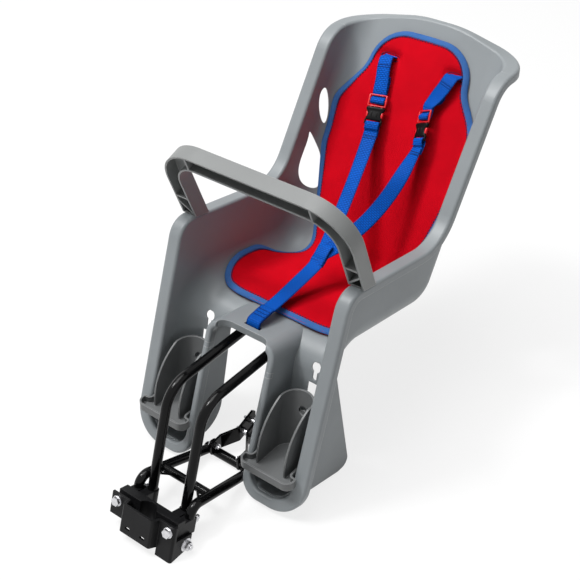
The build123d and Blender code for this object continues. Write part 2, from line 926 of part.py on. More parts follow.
with BuildPart() as clamp_bolts:
    for x in (-clamp_bolt_x, clamp_bolt_x):
        seat = turned(face_plane, on_clamp(x, -clamp_gap - plate - washer_thickness, 0), face_plane.z_dir)
        add(hex_bolt(seat, m8, clamp_bolt_reach + clamp_gap + plate + washer_thickness, m8_across, m8_head))
with BuildPart() as clamp_washers:
    for x in (-clamp_bolt_x, clamp_bolt_x):
        front = turned(face_plane, on_clamp(x, -clamp_gap - plate, 0), face_plane.z_dir)
        add(washer(front, m8, m8_washer))
with BuildPart() as clamp_nuts:
    for x in (-clamp_bolt_x, clamp_bolt_x):
        rear = turned(face_plane, on_clamp(x, cheek_rear, 0), -face_plane.z_dir)
        add(hex_nut(rear, m8, m8_across, m8_nut))
stud_plane = Plane(origin=on_clamp(0, *stud), x_dir=tube_plane.y_dir, z_dir=(1, 0, 0))
with BuildPart() as side_stud:
    with BuildSketch(stud_plane.offset(cheek_inside)):
        Circle(m8)
    extrude(amount=stud_reach - cheek_inside)
with BuildPart() as side_washer:
    add(washer(stud_plane.offset(ear_half), m8, stud_washer))
with BuildPart() as side_nut:
    add(hex_nut(stud_plane.offset(ear_half + washer_thickness), m8, m8_across, m8_nut))


# Carrier tubes
def bent_pipe(points, bends, radius, bore):
    """A bent round tube through the points, solid where the bore is nought."""
    with BuildPart() as bent:
        with BuildLine() as path:
            if bends:
                FilletPolyline(points, radius=bends)
            else:
                Polyline(points)
        with BuildSketch(Plane(origin=path.line @ 0, z_dir=path.line % 0)):
            Circle(radius)
            if bore:
                Circle(bore, mode=Mode.SUBTRACT)
        sweep()
    return bent.part


bow_fall_line = (pan_front[0], pan_front[1] - (wall + bow_drop) / cos(radians(pan_fall)))
bow_knee = crossing((0, bow_level), 0, bow_fall_line, -pan_fall)
bow_end = (bow_end_y, bow_fall_line[1] - (bow_end_y - bow_fall_line[0]) * tan(radians(pan_fall)))
bow_foot = on_clamp(bow_half, collar_behind, collar_bottom)
bow_top = crossing((bow_foot.Y, bow_foot.Z + clamp_height), 90 - clamp_lean, (0, bow_level), 0)
bow_side = [bow_top, bow_knee, bow_end]
bow_points = [bow_foot] + [(bow_half, y, up(height)) for y, height in bow_side]
bow_points += [(-p[0], p[1], p[2]) for p in (tuple(q) for q in reversed(bow_points))]
bow_radii = [bow_bend, bow_sweep, bow_half - play, bow_half - play, bow_sweep, bow_bend]
with BuildPart() as carrier_bow:
    add(bent_pipe(bow_points, bow_radii, pipe, pipe_bore))

rail_corner = on_clamp(rail_half, rail_behind, rail_rise)
rail_plane = Plane(
    origin=(0, rail_corner.Y, rail_corner.Z),
    x_dir=(1, 0, 0),
    z_dir=(0, sin(radians(rail_fall)), cos(radians(rail_fall))),
)
rail_end = rail_plane.from_local_coords((rail_rear_half, rail_length, 0))
rail_points = [on_clamp(rail_half, rail_behind, cheek_top), rail_corner, rail_end]
rear_half = rail_rear_half + pipe
rear_cross_ends = [rail_plane.from_local_coords((x, rail_length, 0)) for x in (-rear_half, rear_half)]
front_cross_ends = [rail_plane.from_local_coords((x, front_cross_along, 0)) for x in (-rail_half, rail_half)]
rail_solid = bent_pipe(rail_points, rail_bend, pipe, 0)
rear_cross_solid = bent_pipe(rear_cross_ends, None, pipe, 0)
front_cross_solid = bent_pipe(front_cross_ends, None, cross_pipe, 0)
with BuildPart() as lower_rail_left:
    add(bent_pipe(rail_points, rail_bend, pipe, pipe_bore))
    add(rear_cross_solid, mode=Mode.SUBTRACT)
with BuildPart() as lower_rail_right:
    mirror(lower_rail_left.part, about=Plane.YZ)
with BuildPart() as front_cross_tube:
    add(front_cross_solid)
    add(rail_solid, mode=Mode.SUBTRACT)
    add(mirror(rail_solid, about=Plane.YZ, mode=Mode.PRIVATE), mode=Mode.SUBTRACT)
gusset_corner = Vector(rail_half - pipe + sheet, front_cross_along - cross_pipe + sheet)
with BuildPart() as corner_gusset_left:
    with BuildSketch(rail_plane):
        with BuildLine():
            Polyline(
                [gusset_corner, gusset_corner - (0, gusset_leg), gusset_corner - (gusset_leg, 0)],
                close=True,
            )
        make_face()
        with Locations(gusset_corner - (gusset_hole_inset, gusset_hole_inset)):
            Circle(m6, mode=Mode.SUBTRACT)
    extrude(amount=sheet / 2, both=True)
    add(rail_solid, mode=Mode.SUBTRACT)
    add(front_cross_solid, mode=Mode.SUBTRACT)
with BuildPart() as corner_gusset_right:
    mirror(corner_gusset_left.part, about=Plane.YZ)

# Rear stays
stay_x = stay_plan[0][0]
stay_inner_x = stay_plan[-1][0]
with BuildPart() as rear_cross_tube:
    add(bent_pipe(rear_cross_ends, None, pipe, pipe_bore))
with BuildPart() as lugs:
    with BuildSketch(Plane.YZ.offset(stay_x + plate / 2)):
        with Locations(framed([lug_at])[0]):
            Circle(lug_radius)
            Circle(m6, mode=Mode.SUBTRACT)
    extrude(amount=plate)
    mirror(about=Plane.YZ)
    add(rear_cross_solid, mode=Mode.SUBTRACT)
with rear_cross_tube:
    add(lugs.part)
with BuildPart() as stay_block:
    with BuildSketch(Plane.YZ):
        with BuildLine():
            Polyline(framed(stay_side), close=True)
        make_face()
    extrude(amount=2 * stay_x, both=True)
with BuildPart() as rear_stay_left:
    with BuildSketch(Plane.XY.offset(up(0))):
        with BuildLine():
            FilletPolyline(stay_plan, radius=plate)
        trace(line_width=plate)
    extrude(amount=clamp_height * 2)
    add(stay_block.part, mode=Mode.INTERSECT)
    add(rear_cross_solid, mode=Mode.SUBTRACT)
    with BuildSketch(Plane.YZ):
        with Locations(*framed(stay_bolts_at), framed([lug_at])[0]):
            Circle(m6)
    extrude(amount=2 * stay_x, mode=Mode.SUBTRACT)
with BuildPart() as rear_stay_right:
    mirror(rear_stay_left.part, about=Plane.YZ)
stay_face = stay_inner_x + plate / 2
with BuildPart() as stay_bolts:
    for y, z in framed(stay_bolts_at):
        head_plane = Plane(origin=(stay_face, y, z), x_dir=(0, 1, 0), z_dir=(1, 0, 0))
        add(hex_bolt(head_plane, m6, 2 * stay_face + 2 * m6_nut, m6_across, m6_head))
with BuildPart() as stay_nuts:
    for y, z in framed(stay_bolts_at):
        nut_plane = Plane(origin=(-stay_face, y, z), x_dir=(0, 1, 0), z_dir=(-1, 0, 0))
        add(hex_nut(nut_plane, m6, m6_across, m6_nut))
with BuildPart() as stay_bushes:
    for y, z in framed(stay_bolts_at):
        with BuildSketch(Plane(origin=(0, y, z), x_dir=(0, 1, 0), z_dir=(1, 0, 0))):
            Circle(2 * m6)
            Circle(m6, mode=Mode.SUBTRACT)
        extrude(amount=stay_face - plate, both=True)
with BuildPart() as lug_bolts:
    y, z = framed([lug_at])[0]
    for side in (-1, 1):
        head_plane = Plane(origin=(side * (stay_x + 1.5 * plate), y, z), x_dir=(0, 1, 0), z_dir=(side, 0, 0))
        add(hex_bolt(head_plane, m6, 2 * plate + m6_nut + sheet, m6_across, m6_head))
with BuildPart() as lug_nuts:
    y, z = framed([lug_at])[0]
    for side in (-1, 1):
        nut_plane = Plane(origin=(side * (stay_x - plate / 2), y, z), x_dir=(0, 1, 0), z_dir=(-side, 0, 0))
        add(hex_nut(nut_plane, m6, m6_across, m6_nut))

# Saddles that hold the bow under the pan
under_plane = pan_plane.offset(-wall)


def saddle(y, top, bottom):
    """A bar across the bow at a y, between two depths under the pan, grooved for the tubes."""
    with BuildPart() as bar:
        with BuildSketch(under_plane.offset(-top)):
            with Locations((0, along_pan(y))):
                RectangleRounded(*saddle_size, sheet)
            with Locations((saddle_bolt_x, along_pan(y)), (-saddle_bolt_x, along_pan(y))):
                Circle(m6, mode=Mode.SUBTRACT)
        extrude(amount=top - bottom)
        groove = under_plane.offset(-bow_drop)
        with BuildSketch(Plane(origin=groove.origin, x_dir=(1, 0, 0), z_dir=groove.y_dir)):
            with Locations((bow_half, 0), (-bow_half, 0)):
                Circle(pipe)
        extrude(amount=2 * bow_end_y, mode=Mode.SUBTRACT)
    return bar.part


saddle_floor = bow_drop + pipe + sheet
with BuildPart() as saddle_front:
    add(saddle(saddle_places[0], 0, bow_drop - play))
with BuildPart() as saddle_rear:
    add(saddle(saddle_places[1], 0, bow_drop - play))
with BuildPart() as saddle_cap_front:
    add(saddle(saddle_places[0], bow_drop + play, saddle_floor))
with BuildPart() as saddle_cap_rear:
    add(saddle(saddle_places[1], bow_drop + play, saddle_floor))
with BuildPart() as saddle_screws:
    for y in saddle_places:
        for x in (-saddle_bolt_x, saddle_bolt_x):
            head = under_plane.from_local_coords((x, along_pan(y), -saddle_floor))
            head_plane = Plane(origin=head, x_dir=(1, 0, 0), z_dir=-under_plane.z_dir)
            add(hex_bolt(head_plane, m6, saddle_floor + wall - play, m6_across, m6_head))


# Padded liner: a layer of the bucket's own shape, within outlines on the pan and on the back
pad_top = pad_lift + pad_thickness
with BuildPart() as pad_outline:
    with BuildSketch(back_plane):
        back_side = [(x, back_length - drop) for x, drop in pad_back]
        with BuildLine():
            FilletPolyline(
                back_side + [(-x, v) for x, v in reversed(back_side)],
                radius=[0] + pad_back_radii + pad_back_radii[::-1] + [0],
                close=True,
            )
        make_face()
        with Locations(slot_at, (-slot_at[0], slot_at[1])):
            Rectangle(webbing + slot_clearance, webbing_thick + slot_clearance, mode=Mode.SUBTRACT)
    extrude(amount=pad_bounds)
    with BuildSketch(pan_plane):
        seat_side = [(x, along_pan(y)) for x, y in pad_seat]
        with BuildLine():
            FilletPolyline(
                seat_side + [(-x, v) for x, v in reversed(seat_side)],
                radius=[0] + pad_seat_radii + pad_seat_radii[::-1] + [0],
                close=True,
            )
        make_face()
    extrude(amount=pad_bounds)
with BuildPart() as seat_pad:
    add(bucket(-pad_lift))
    add(bucket(-pad_top), mode=Mode.SUBTRACT)
    add(pad_outline.part, mode=Mode.INTERSECT)

# Harness: one shoulder's strap and buckle, then the other by mirror
slot_point = back_plane.from_local_coords((*slot_at, pad_top + webbing_thick))
end_point = back_plane.from_local_coords((shoulder_end[0], back_length - shoulder_end[1], shoulder_end[2]))
strap_along = (end_point - slot_point).normalized()
strap_facing = back_plane.z_dir - strap_along * back_plane.z_dir.dot(strap_along)
strap_plane = Plane(origin=slot_point, x_dir=strap_along, z_dir=strap_facing)
body_start = upper_strap + buckle_frame + play
body_end = body_start + buckle_body


def band(plane, start, end, width, thickness):
    """A flat bar along a plane's x direction, centred on the plane."""
    with BuildPart() as bar:
        with BuildSketch(plane):
            with Locations(((start + end) / 2, 0)):
                Rectangle(end - start, width)
        extrude(amount=thickness / 2, both=True)
    return bar.part


def retainer(plane, place):
    """A slotted plate that holds the end of a strap."""
    with BuildPart() as plate_part:
        with BuildSketch(plane):
            with Locations(place):
                RectangleRounded(retainer_size[0], retainer_size[1], sheet)
                Rectangle(webbing + 2 * play, webbing_thick + 2 * play, mode=Mode.SUBTRACT)
        extrude(amount=-retainer_size[2])
    return plate_part.part


strap_tail = wall + 2 * retainer_size[2]
with BuildPart() as shoulder_strap_left:
    add(band(strap_plane, 0, upper_strap, webbing, webbing_thick))
    with BuildSketch(back_plane.offset(pad_top + webbing_thick)):
        with Locations(slot_at):
            Rectangle(webbing, webbing_thick)
    extrude(amount=-pad_top - webbing_thick - strap_tail)
with BuildPart() as strap_retainer_left:
    add(retainer(back_plane.offset(-wall), slot_at))
window = (buckle_frame - 4 * sheet) / 2 + sheet / 2
with BuildPart() as buckle_latch_left:
    add(band(strap_plane, upper_strap, upper_strap + buckle_frame, buckle_width, frame_thick))
    with BuildSketch(strap_plane):
        for place in (sheet + window / 2, buckle_frame - sheet - window / 2):
            with Locations((upper_strap + place, 0)):
                Rectangle(window, webbing + 2 * play)
    extrude(amount=frame_thick, both=True, mode=Mode.SUBTRACT)
    with BuildSketch(strap_plane):
        with Locations(*[(body_start + prong_length / 2 - play, side * prong_out) for side in (-1, 1)]):
            Rectangle(prong_length, frame_thick)
    extrude(amount=frame_thick / 2, both=True)
with BuildPart() as buckle_body_left:
    add(band(strap_plane, body_start, body_end, buckle_width, buckle_thick))
    fillet(buckle_body_left.edges().filter_by(Axis((0, 0, 0), strap_plane.z_dir)), sheet)
    prong_room = body_start + prong_length + sheet
    add(band(strap_plane, body_start, prong_room, webbing, frame_thick + sheet / 2), mode=Mode.SUBTRACT)
    with BuildSketch(strap_plane):
        for side in (-1, 1):
            with Locations((body_start + prong_length, side * (buckle_width / 2 + waist_radius / 2))):
                Circle(waist_radius)
    extrude(amount=buckle_thick, both=True, mode=Mode.SUBTRACT)

# Lower straps meet in front of the child, and the crotch strap runs on to the pan
strap_meet = Vector(0, junction[0], up(junction[1]))
strap_from = strap_plane.from_local_coords((body_end + strap_gap, 0, 0))
strap_up = (Vector(0, strap_from.Y, strap_from.Z) - strap_meet).normalized()
meet_plane = Plane(origin=strap_meet, x_dir=(1, 0, 0), z_dir=Vector(1, 0, 0).cross(strap_up))
meet_run = strap_from - strap_meet
lower_left_plane = Plane(
    origin=strap_meet + meet_plane.z_dir * (webbing_thick / 2 + play),
    x_dir=meet_run,
    z_dir=meet_plane.z_dir,
)
with BuildPart() as lower_strap_left:
    add(band(lower_left_plane, 0, meet_run.length, webbing, webbing_thick))
with BuildPart() as lower_strap_right:
    right_plane = lower_left_plane.offset(-webbing_thick - play)
    mirror(band(right_plane, 0, meet_run.length, webbing, webbing_thick), about=Plane.YZ)
crotch_top = meet_plane.z_dir * (1.5 * webbing_thick + 2 * play) + strap_meet
crotch_slot = pan_plane.from_local_coords((0, along_pan(crotch_slot_y), slot_clearance))
crotch_end = pan_plane.from_local_coords((0, along_pan(crotch_slot_y), -strap_tail))
crotch_points = [
    crotch_top + strap_up * webbing,
    crotch_top - strap_up * slot_clearance,
    crotch_slot,
    crotch_end,
]
with BuildPart() as crotch_strap:
    with BuildSketch(Plane.YZ):
        with BuildLine():
            FilletPolyline([(p.Y, p.Z) for p in crotch_points], radius=sheet)
        trace(line_width=webbing_thick)
    extrude(amount=webbing / 2, both=True)
with BuildPart() as crotch_retainer:
    add(retainer(pan_plane.offset(-wall), (0, along_pan(crotch_slot_y))))
with BuildPart() as shoulder_strap_right:
    mirror(shoulder_strap_left.part, about=Plane.YZ)
with BuildPart() as strap_retainer_right:
    mirror(strap_retainer_left.part, about=Plane.YZ)
with BuildPart() as buckle_latch_right:
    mirror(buckle_latch_left.part, about=Plane.YZ)
with BuildPart() as buckle_body_right:
    mirror(buckle_body_left.part, about=Plane.YZ)

os.makedirs("parts", exist_ok=True)
seat_shell.part.label = "seat_shell"
export_step(seat_shell.part, "parts/seat_shell.step")
safety_bar.part.label = "safety_bar"
export_step(safety_bar.part, "parts/safety_bar.step")
footrest_left.part.label = "footrest_left"
export_step(footrest_left.part, "parts/footrest_left.step")
footrest_right.part.label = "footrest_right"
export_step(footrest_right.part, "parts/footrest_right.step")
front_clamp_plate.part.label = "front_clamp_plate"
export_step(front_clamp_plate.part, "parts/front_clamp_plate.step")
rear_clamp_bracket.part.label = "rear_clamp_bracket"
export_step(rear_clamp_bracket.part, "parts/rear_clamp_bracket.step")
clamp_bolts.part.label = "clamp_bolts"
export_step(clamp_bolts.part, "parts/clamp_bolts.step")
clamp_washers.part.label = "clamp_washers"
export_step(clamp_washers.part, "parts/clamp_washers.step")
clamp_nuts.part.label = "clamp_nuts"
export_step(clamp_nuts.part, "parts/clamp_nuts.step")
side_stud.part.label = "side_stud"
export_step(side_stud.part, "parts/side_stud.step")
side_washer.part.label = "side_washer"
export_step(side_washer.part, "parts/side_washer.step")
side_nut.part.label = "side_nut"
export_step(side_nut.part, "parts/side_nut.step")
carrier_bow.part.label = "carrier_bow"
export_step(carrier_bow.part, "parts/carrier_bow.step")
lower_rail_left.part.label = "lower_rail_left"
export_step(lower_rail_left.part, "parts/lower_rail_left.step")
lower_rail_right.part.label = "lower_rail_right"
export_step(lower_rail_right.part, "parts/lower_rail_right.step")
front_cross_tube.part.label = "front_cross_tube"
export_step(front_cross_tube.part, "parts/front_cross_tube.step")
rear_cross_tube.part.label = "rear_cross_tube"
export_step(rear_cross_tube.part, "parts/rear_cross_tube.step")
corner_gusset_left.part.label = "corner_gusset_left"
export_step(corner_gusset_left.part, "parts/corner_gusset_left.step")
corner_gusset_right.part.label = "corner_gusset_right"
export_step(corner_gusset_right.part, "parts/corner_gusset_right.step")
rear_stay_left.part.label = "rear_stay_left"
export_step(rear_stay_left.part, "parts/rear_stay_left.step")
rear_stay_right.part.label = "rear_stay_right"
export_step(rear_stay_right.part, "parts/rear_stay_right.step")
stay_bolts.part.label = "stay_bolts"
export_step(stay_bolts.part, "parts/stay_bolts.step")
stay_nuts.part.label = "stay_nuts"
export_step(stay_nuts.part, "parts/stay_nuts.step")
stay_bushes.part.label = "stay_bushes"
export_step(stay_bushes.part, "parts/stay_bushes.step")
lug_bolts.part.label = "lug_bolts"
export_step(lug_bolts.part, "parts/lug_bolts.step")
lug_nuts.part.label = "lug_nuts"
export_step(lug_nuts.part, "parts/lug_nuts.step")
saddle_front.part.label = "saddle_front"
export_step(saddle_front.part, "parts/saddle_front.step")
saddle_rear.part.label = "saddle_rear"
export_step(saddle_rear.part, "parts/saddle_rear.step")
saddle_cap_front.part.label = "saddle_cap_front"
export_step(saddle_cap_front.part, "parts/saddle_cap_front.step")
saddle_cap_rear.part.label = "saddle_cap_rear"
export_step(saddle_cap_rear.part, "parts/saddle_cap_rear.step")
saddle_screws.part.label = "saddle_screws"
export_step(saddle_screws.part, "parts/saddle_screws.step")
seat_pad.part.label = "seat_pad"
export_step(seat_pad.part, "parts/seat_pad.step")
shoulder_strap_left.part.label = "shoulder_strap_left"
export_step(shoulder_strap_left.part, "parts/shoulder_strap_left.step")
shoulder_strap_right.part.label = "shoulder_strap_right"
export_step(shoulder_strap_right.part, "parts/shoulder_strap_right.step")
strap_retainer_left.part.label = "strap_retainer_left"
export_step(strap_retainer_left.part, "parts/strap_retainer_left.step")
strap_retainer_right.part.label = "strap_retainer_right"
export_step(strap_retainer_right.part, "parts/strap_retainer_right.step")
buckle_latch_left.part.label = "buckle_latch_left"
export_step(buckle_latch_left.part, "parts/buckle_latch_left.step")
buckle_latch_right.part.label = "buckle_latch_right"
export_step(buckle_latch_right.part, "parts/buckle_latch_right.step")
buckle_body_left.part.label = "buckle_body_left"
export_step(buckle_body_left.part, "parts/buckle_body_left.step")
buckle_body_right.part.label = "buckle_body_right"
export_step(buckle_body_right.part, "parts/buckle_body_right.step")
lower_strap_left.part.label = "lower_strap_left"
export_step(lower_strap_left.part, "parts/lower_strap_left.step")
lower_strap_right.part.label = "lower_strap_right"
export_step(lower_strap_right.part, "parts/lower_strap_right.step")
crotch_strap.part.label = "crotch_strap"
export_step(crotch_strap.part, "parts/crotch_strap.step")
crotch_retainer.part.label = "crotch_retainer"
export_step(crotch_retainer.part, "parts/crotch_retainer.step")
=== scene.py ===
import json
from math import cos, exp, hypot, pi, radians, sin, tan

import bmesh
import bpy
import mathutils
import numpy as np
from mathutils import Matrix, Vector


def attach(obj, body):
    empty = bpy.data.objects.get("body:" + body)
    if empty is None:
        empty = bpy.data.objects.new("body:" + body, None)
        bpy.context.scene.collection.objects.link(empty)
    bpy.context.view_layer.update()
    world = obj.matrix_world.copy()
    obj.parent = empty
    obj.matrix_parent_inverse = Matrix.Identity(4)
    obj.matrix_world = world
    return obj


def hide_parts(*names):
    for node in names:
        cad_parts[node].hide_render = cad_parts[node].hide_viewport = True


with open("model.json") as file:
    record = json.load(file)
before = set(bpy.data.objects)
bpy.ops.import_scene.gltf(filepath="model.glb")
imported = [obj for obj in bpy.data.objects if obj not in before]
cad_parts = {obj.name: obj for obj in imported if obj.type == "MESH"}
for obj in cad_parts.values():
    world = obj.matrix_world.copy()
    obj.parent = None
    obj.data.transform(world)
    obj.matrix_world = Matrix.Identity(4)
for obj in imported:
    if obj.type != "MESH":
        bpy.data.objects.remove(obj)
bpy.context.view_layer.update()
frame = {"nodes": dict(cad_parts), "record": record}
nodes = frame["nodes"]
scene = bpy.context.scene

GROUND = -0.046


# Materials
def new_material(name):
    """An empty principled material: its tree, its shader and a coordinate source in metres."""
    material = bpy.data.materials.new(name)
    material.use_nodes = True
    tree = material.node_tree
    shader = tree.nodes["Principled BSDF"]
    place = tree.nodes.new("ShaderNodeTexCoord")
    return material, tree, shader, place.outputs["Object"]


def noise(tree, place, scale, detail=2.0, rough=0.5):
    """A noise texture's factor."""
    node = tree.nodes.new("ShaderNodeTexNoise")
    node.inputs["Scale"].default_value = scale
    node.inputs["Detail"].default_value = detail
    node.inputs["Roughness"].default_value = rough
    tree.links.new(place, node.inputs["Vector"])
    return node.outputs["Fac"]


def ramp(tree, factor, low, high, start=0.3, end=0.7):
    """A colour ramp between two colours."""
    node = tree.nodes.new("ShaderNodeValToRGB")
    node.color_ramp.elements[0].position = start
    node.color_ramp.elements[0].color = (*low, 1)
    node.color_ramp.elements[1].position = end
    node.color_ramp.elements[1].color = (*high, 1)
    tree.links.new(factor, node.inputs["Fac"])
    return node.outputs["Color"]


def spread(tree, factor, low, high):
    """A factor mapped to a range of values."""
    node = tree.nodes.new("ShaderNodeMapRange")
    node.inputs["To Min"].default_value = low
    node.inputs["To Max"].default_value = high
    tree.links.new(factor, node.inputs["Value"])
    return node.outputs["Result"]


def bump(tree, height, strength, distance, normal=None):
    """A bump from a height factor."""
    node = tree.nodes.new("ShaderNodeBump")
    node.inputs["Strength"].default_value = strength
    node.inputs["Distance"].default_value = distance
    tree.links.new(height, node.inputs["Height"])
    if normal:
        tree.links.new(normal, node.inputs["Normal"])
    return node.outputs["Normal"]


def shade(colour, factor):
    """A colour made lighter or darker."""
    return tuple(c * factor for c in colour)


def edges(tree, radius):
    """A normal that rounds sharp edges off, and a factor that is one on them."""
    bevel = tree.nodes.new("ShaderNodeBevel")
    bevel.samples = 4
    bevel.inputs["Radius"].default_value = radius
    surface = tree.nodes.new("ShaderNodeNewGeometry")
    dot = tree.nodes.new("ShaderNodeVectorMath")
    dot.operation = "DOT_PRODUCT"
    tree.links.new(bevel.outputs["Normal"], dot.inputs[0])
    tree.links.new(surface.outputs["Normal"], dot.inputs[1])
    limit = tree.nodes.new("ShaderNodeMapRange")
    limit.inputs["From Min"].default_value = 0.985
    limit.inputs["From Max"].default_value = 0.80
    tree.links.new(dot.outputs["Value"], limit.inputs["Value"])
    return bevel.outputs["Normal"], limit.outputs["Result"]


def lighter(tree, colour, factor, wear_and_highlight):
    """A colour that is lighter where a factor is one, as rubbing and as a painted highlight."""
    node = tree.nodes.new("ShaderNodeMix")
    node.data_type = "RGBA"
    node.blend_type = "ADD"
    node.inputs[7].default_value = (wear_and_highlight, wear_and_highlight, wear_and_highlight, 1)
    tree.links.new(factor, node.inputs[0])
    tree.links.new(colour, node.inputs[6])
    return node.outputs[2]


def moulded(name, colour, roughness, grain=0.25, wear_and_highlight=0.0, gleam=0.5):
    """Moulded plastic: a fine grain and a little drift in its colour and gloss; sharp edges are lighter,
    rubbed and with a painted highlight.
    """
    material, tree, shader, place = new_material(name)
    drift = noise(tree, place, 9.0, 4.0)
    round_normal, edge_wear_and_highlight = edges(tree, 0.0014)
    plain = ramp(tree, drift, shade(colour, 0.94), shade(colour, 1.06))
    # Sharp edges lighter: rubbing, and a painted highlight along them.
    tree.links.new(lighter(tree, plain, edge_wear_and_highlight, wear_and_highlight), shader.inputs["Base Color"])
    gloss = spread(tree, noise(tree, place, 60.0, 3.0), roughness - 0.07, roughness + 0.07)
    tree.links.new(gloss, shader.inputs["Roughness"])
    relief = bump(tree, noise(tree, place, 1400.0, 2.0), grain, 0.0003, round_normal)
    tree.links.new(relief, shader.inputs["Normal"])
    shader.inputs["Specular IOR Level"].default_value = gleam
    return material


def coated(name, colour, roughness):
    """Powder-coated steel: an orange-peel surface."""
    material, tree, shader, place = new_material(name)
    paint = ramp(tree, noise(tree, place, 40.0), colour, shade(colour, 1.5))
    tree.links.new(paint, shader.inputs["Base Color"])
    gloss = spread(tree, noise(tree, place, 90.0, 3.0), roughness - 0.05, roughness + 0.08)
    tree.links.new(gloss, shader.inputs["Roughness"])
    round_normal, _ = edges(tree, 0.0008)
    relief = bump(tree, noise(tree, place, 500.0), 0.12, 0.0004, round_normal)
    tree.links.new(relief, shader.inputs["Normal"])
    shader.inputs["Specular IOR Level"].default_value = 0.16
    return material


def plated(name, colour, roughness):
    """Bright plated steel with fine turning marks."""
    material, tree, shader, place = new_material(name)
    metal = ramp(tree, noise(tree, place, 220.0, 4.0), shade(colour, 0.8), colour)
    tree.links.new(metal, shader.inputs["Base Color"])
    gloss = spread(tree, noise(tree, place, 400.0), roughness - 0.06, roughness + 0.12)
    tree.links.new(gloss, shader.inputs["Roughness"])
    shader.inputs["Metallic"].default_value = 1.0
    return material


def multiply(tree, first, second):
    """Two colours multiplied."""
    node = tree.nodes.new("ShaderNodeMix")
    node.data_type = "RGBA"
    node.blend_type = "MULTIPLY"
    node.inputs[0].default_value = 1.0
    tree.links.new(first, node.inputs[6])
    tree.links.new(second, node.inputs[7])
    return node.outputs[2]


def calc(tree, operation, first, second=None):
    """A sum on a factor and, where it takes two, a number or another factor."""
    node = tree.nodes.new("ShaderNodeMath")
    node.operation = operation
    tree.links.new(first, node.inputs[0])
    if isinstance(second, float):
        node.inputs[1].default_value = second
    elif second is not None:
        tree.links.new(second, node.inputs[1])
    return node.outputs["Value"]


def uv_weave(tree, scale, wide, high, gap, turn):
    """A woven height from the cloth's own coordinates in metres: threads over and under each other."""
    place = tree.nodes.new("ShaderNodeUVMap")
    place.uv_map = "cloth"
    turned = tree.nodes.new("ShaderNodeMapping")
    turned.inputs["Rotation"].default_value = (0, 0, turn)
    tree.links.new(place.outputs["UV"], turned.inputs["Vector"])
    brick = tree.nodes.new("ShaderNodeTexBrick")
    brick.inputs["Scale"].default_value = scale
    brick.inputs["Brick Width"].default_value = wide
    brick.inputs["Row Height"].default_value = high
    brick.inputs["Mortar Size"].default_value = gap
    brick.inputs["Mortar Smooth"].default_value = 1.0
    brick.inputs["Color1"].default_value = (1, 1, 1, 1)
    brick.inputs["Color2"].default_value = (0.72, 0.72, 0.72, 1)
    brick.inputs["Mortar"].default_value = (0, 0, 0, 1)
    tree.links.new(turned.outputs["Vector"], brick.inputs["Vector"])
    return brick.outputs["Color"], turned.outputs["Vector"]


def woven(name, colour, scale, wide, high, gap, depth, roughness, turn=0.0, edge=None, gap_shade=0.60):
    """Cloth: a weave in relief, with painted shade in the gaps between its threads, and a drift of colour;
    edge darkens a selvedge.
    """
    material, tree, shader, place = new_material(name)
    weave, flat = uv_weave(tree, scale, wide, high, gap, turn)
    drift = noise(tree, place, 14.0, 5.0, 0.6)
    base = ramp(tree, drift, shade(colour, 0.88), shade(colour, 1.1))
    # Painted shade: the gaps between the threads are darker.
    threads = ramp(tree, weave, (gap_shade, gap_shade, gap_shade), (1.0, 1.0, 1.0), 0.0, 0.8)
    base = multiply(tree, base, threads)
    if edge:
        split = tree.nodes.new("ShaderNodeSeparateXYZ")
        tree.links.new(flat, split.inputs["Vector"])
        side = calc(tree, "MULTIPLY", calc(tree, "ABSOLUTE", split.outputs["X"]), 1 / edge)
        selvedge = ramp(tree, side, (1, 1, 1), (0.55, 0.55, 0.6), 0.80, 0.88)
        base = multiply(tree, base, selvedge)
    tree.links.new(base, shader.inputs["Base Color"])
    tree.links.new(spread(tree, weave, roughness + 0.08, roughness - 0.05), shader.inputs["Roughness"])
    tree.links.new(bump(tree, weave, 0.6, depth), shader.inputs["Normal"])
    shader.inputs["Specular IOR Level"].default_value = 0.06
    return material


SHELL_GREY = (0.224, 0.243, 0.254)
BAR_GREY = (0.204, 0.211, 0.210)
# The footrests' grey is a darker copy of the bar's: painted shade.
SHADED_FOOTREST_GREY = (0.122, 0.127, 0.129)
BUCKLE_BLACK = (0.003, 0.003, 0.0033)
LATCH_RED = (0.66, 0.010, 0.016)
STEEL_BLACK = (0.0020, 0.0020, 0.0022)
SATIN_BLACK = (0.005, 0.005, 0.0055)
ZINC_BRIGHT = (0.72, 0.72, 0.74)
PAD_RED = (0.70, 0.0010, 0.011)
STRAP_BLUE = (0.0025, 0.098, 0.52)
TAPE_BLUE = (0.055, 0.160, 0.44)
THREAD_BLUE = (0.006, 0.010, 0.060)
WEBBING = 0.025

# Lighter sharp edges on the plastics stand for rubbing and are also a painted highlight.
shell_plastic = moulded("shell_plastic", SHELL_GREY, 0.42, wear_and_highlight=0.28, gleam=0.4)
bar_plastic = moulded("bar_plastic", BAR_GREY, 0.45, wear_and_highlight=0.24, gleam=0.4)
shaded_footrest_plastic = moulded("shaded_footrest_plastic", SHADED_FOOTREST_GREY, 0.42, wear_and_highlight=0.24, gleam=0.4)
black_plastic = moulded("black_plastic", BUCKLE_BLACK, 0.36, grain=0.2, wear_and_highlight=0.01, gleam=0.12)
red_plastic = moulded("red_plastic", LATCH_RED, 0.3, grain=0.1)
black_steel = coated("black_steel", STEEL_BLACK, 0.10)
satin_black_steel = coated("satin_black_steel", SATIN_BLACK, 0.34)
zinc = plated("zinc", ZINC_BRIGHT, 0.24)
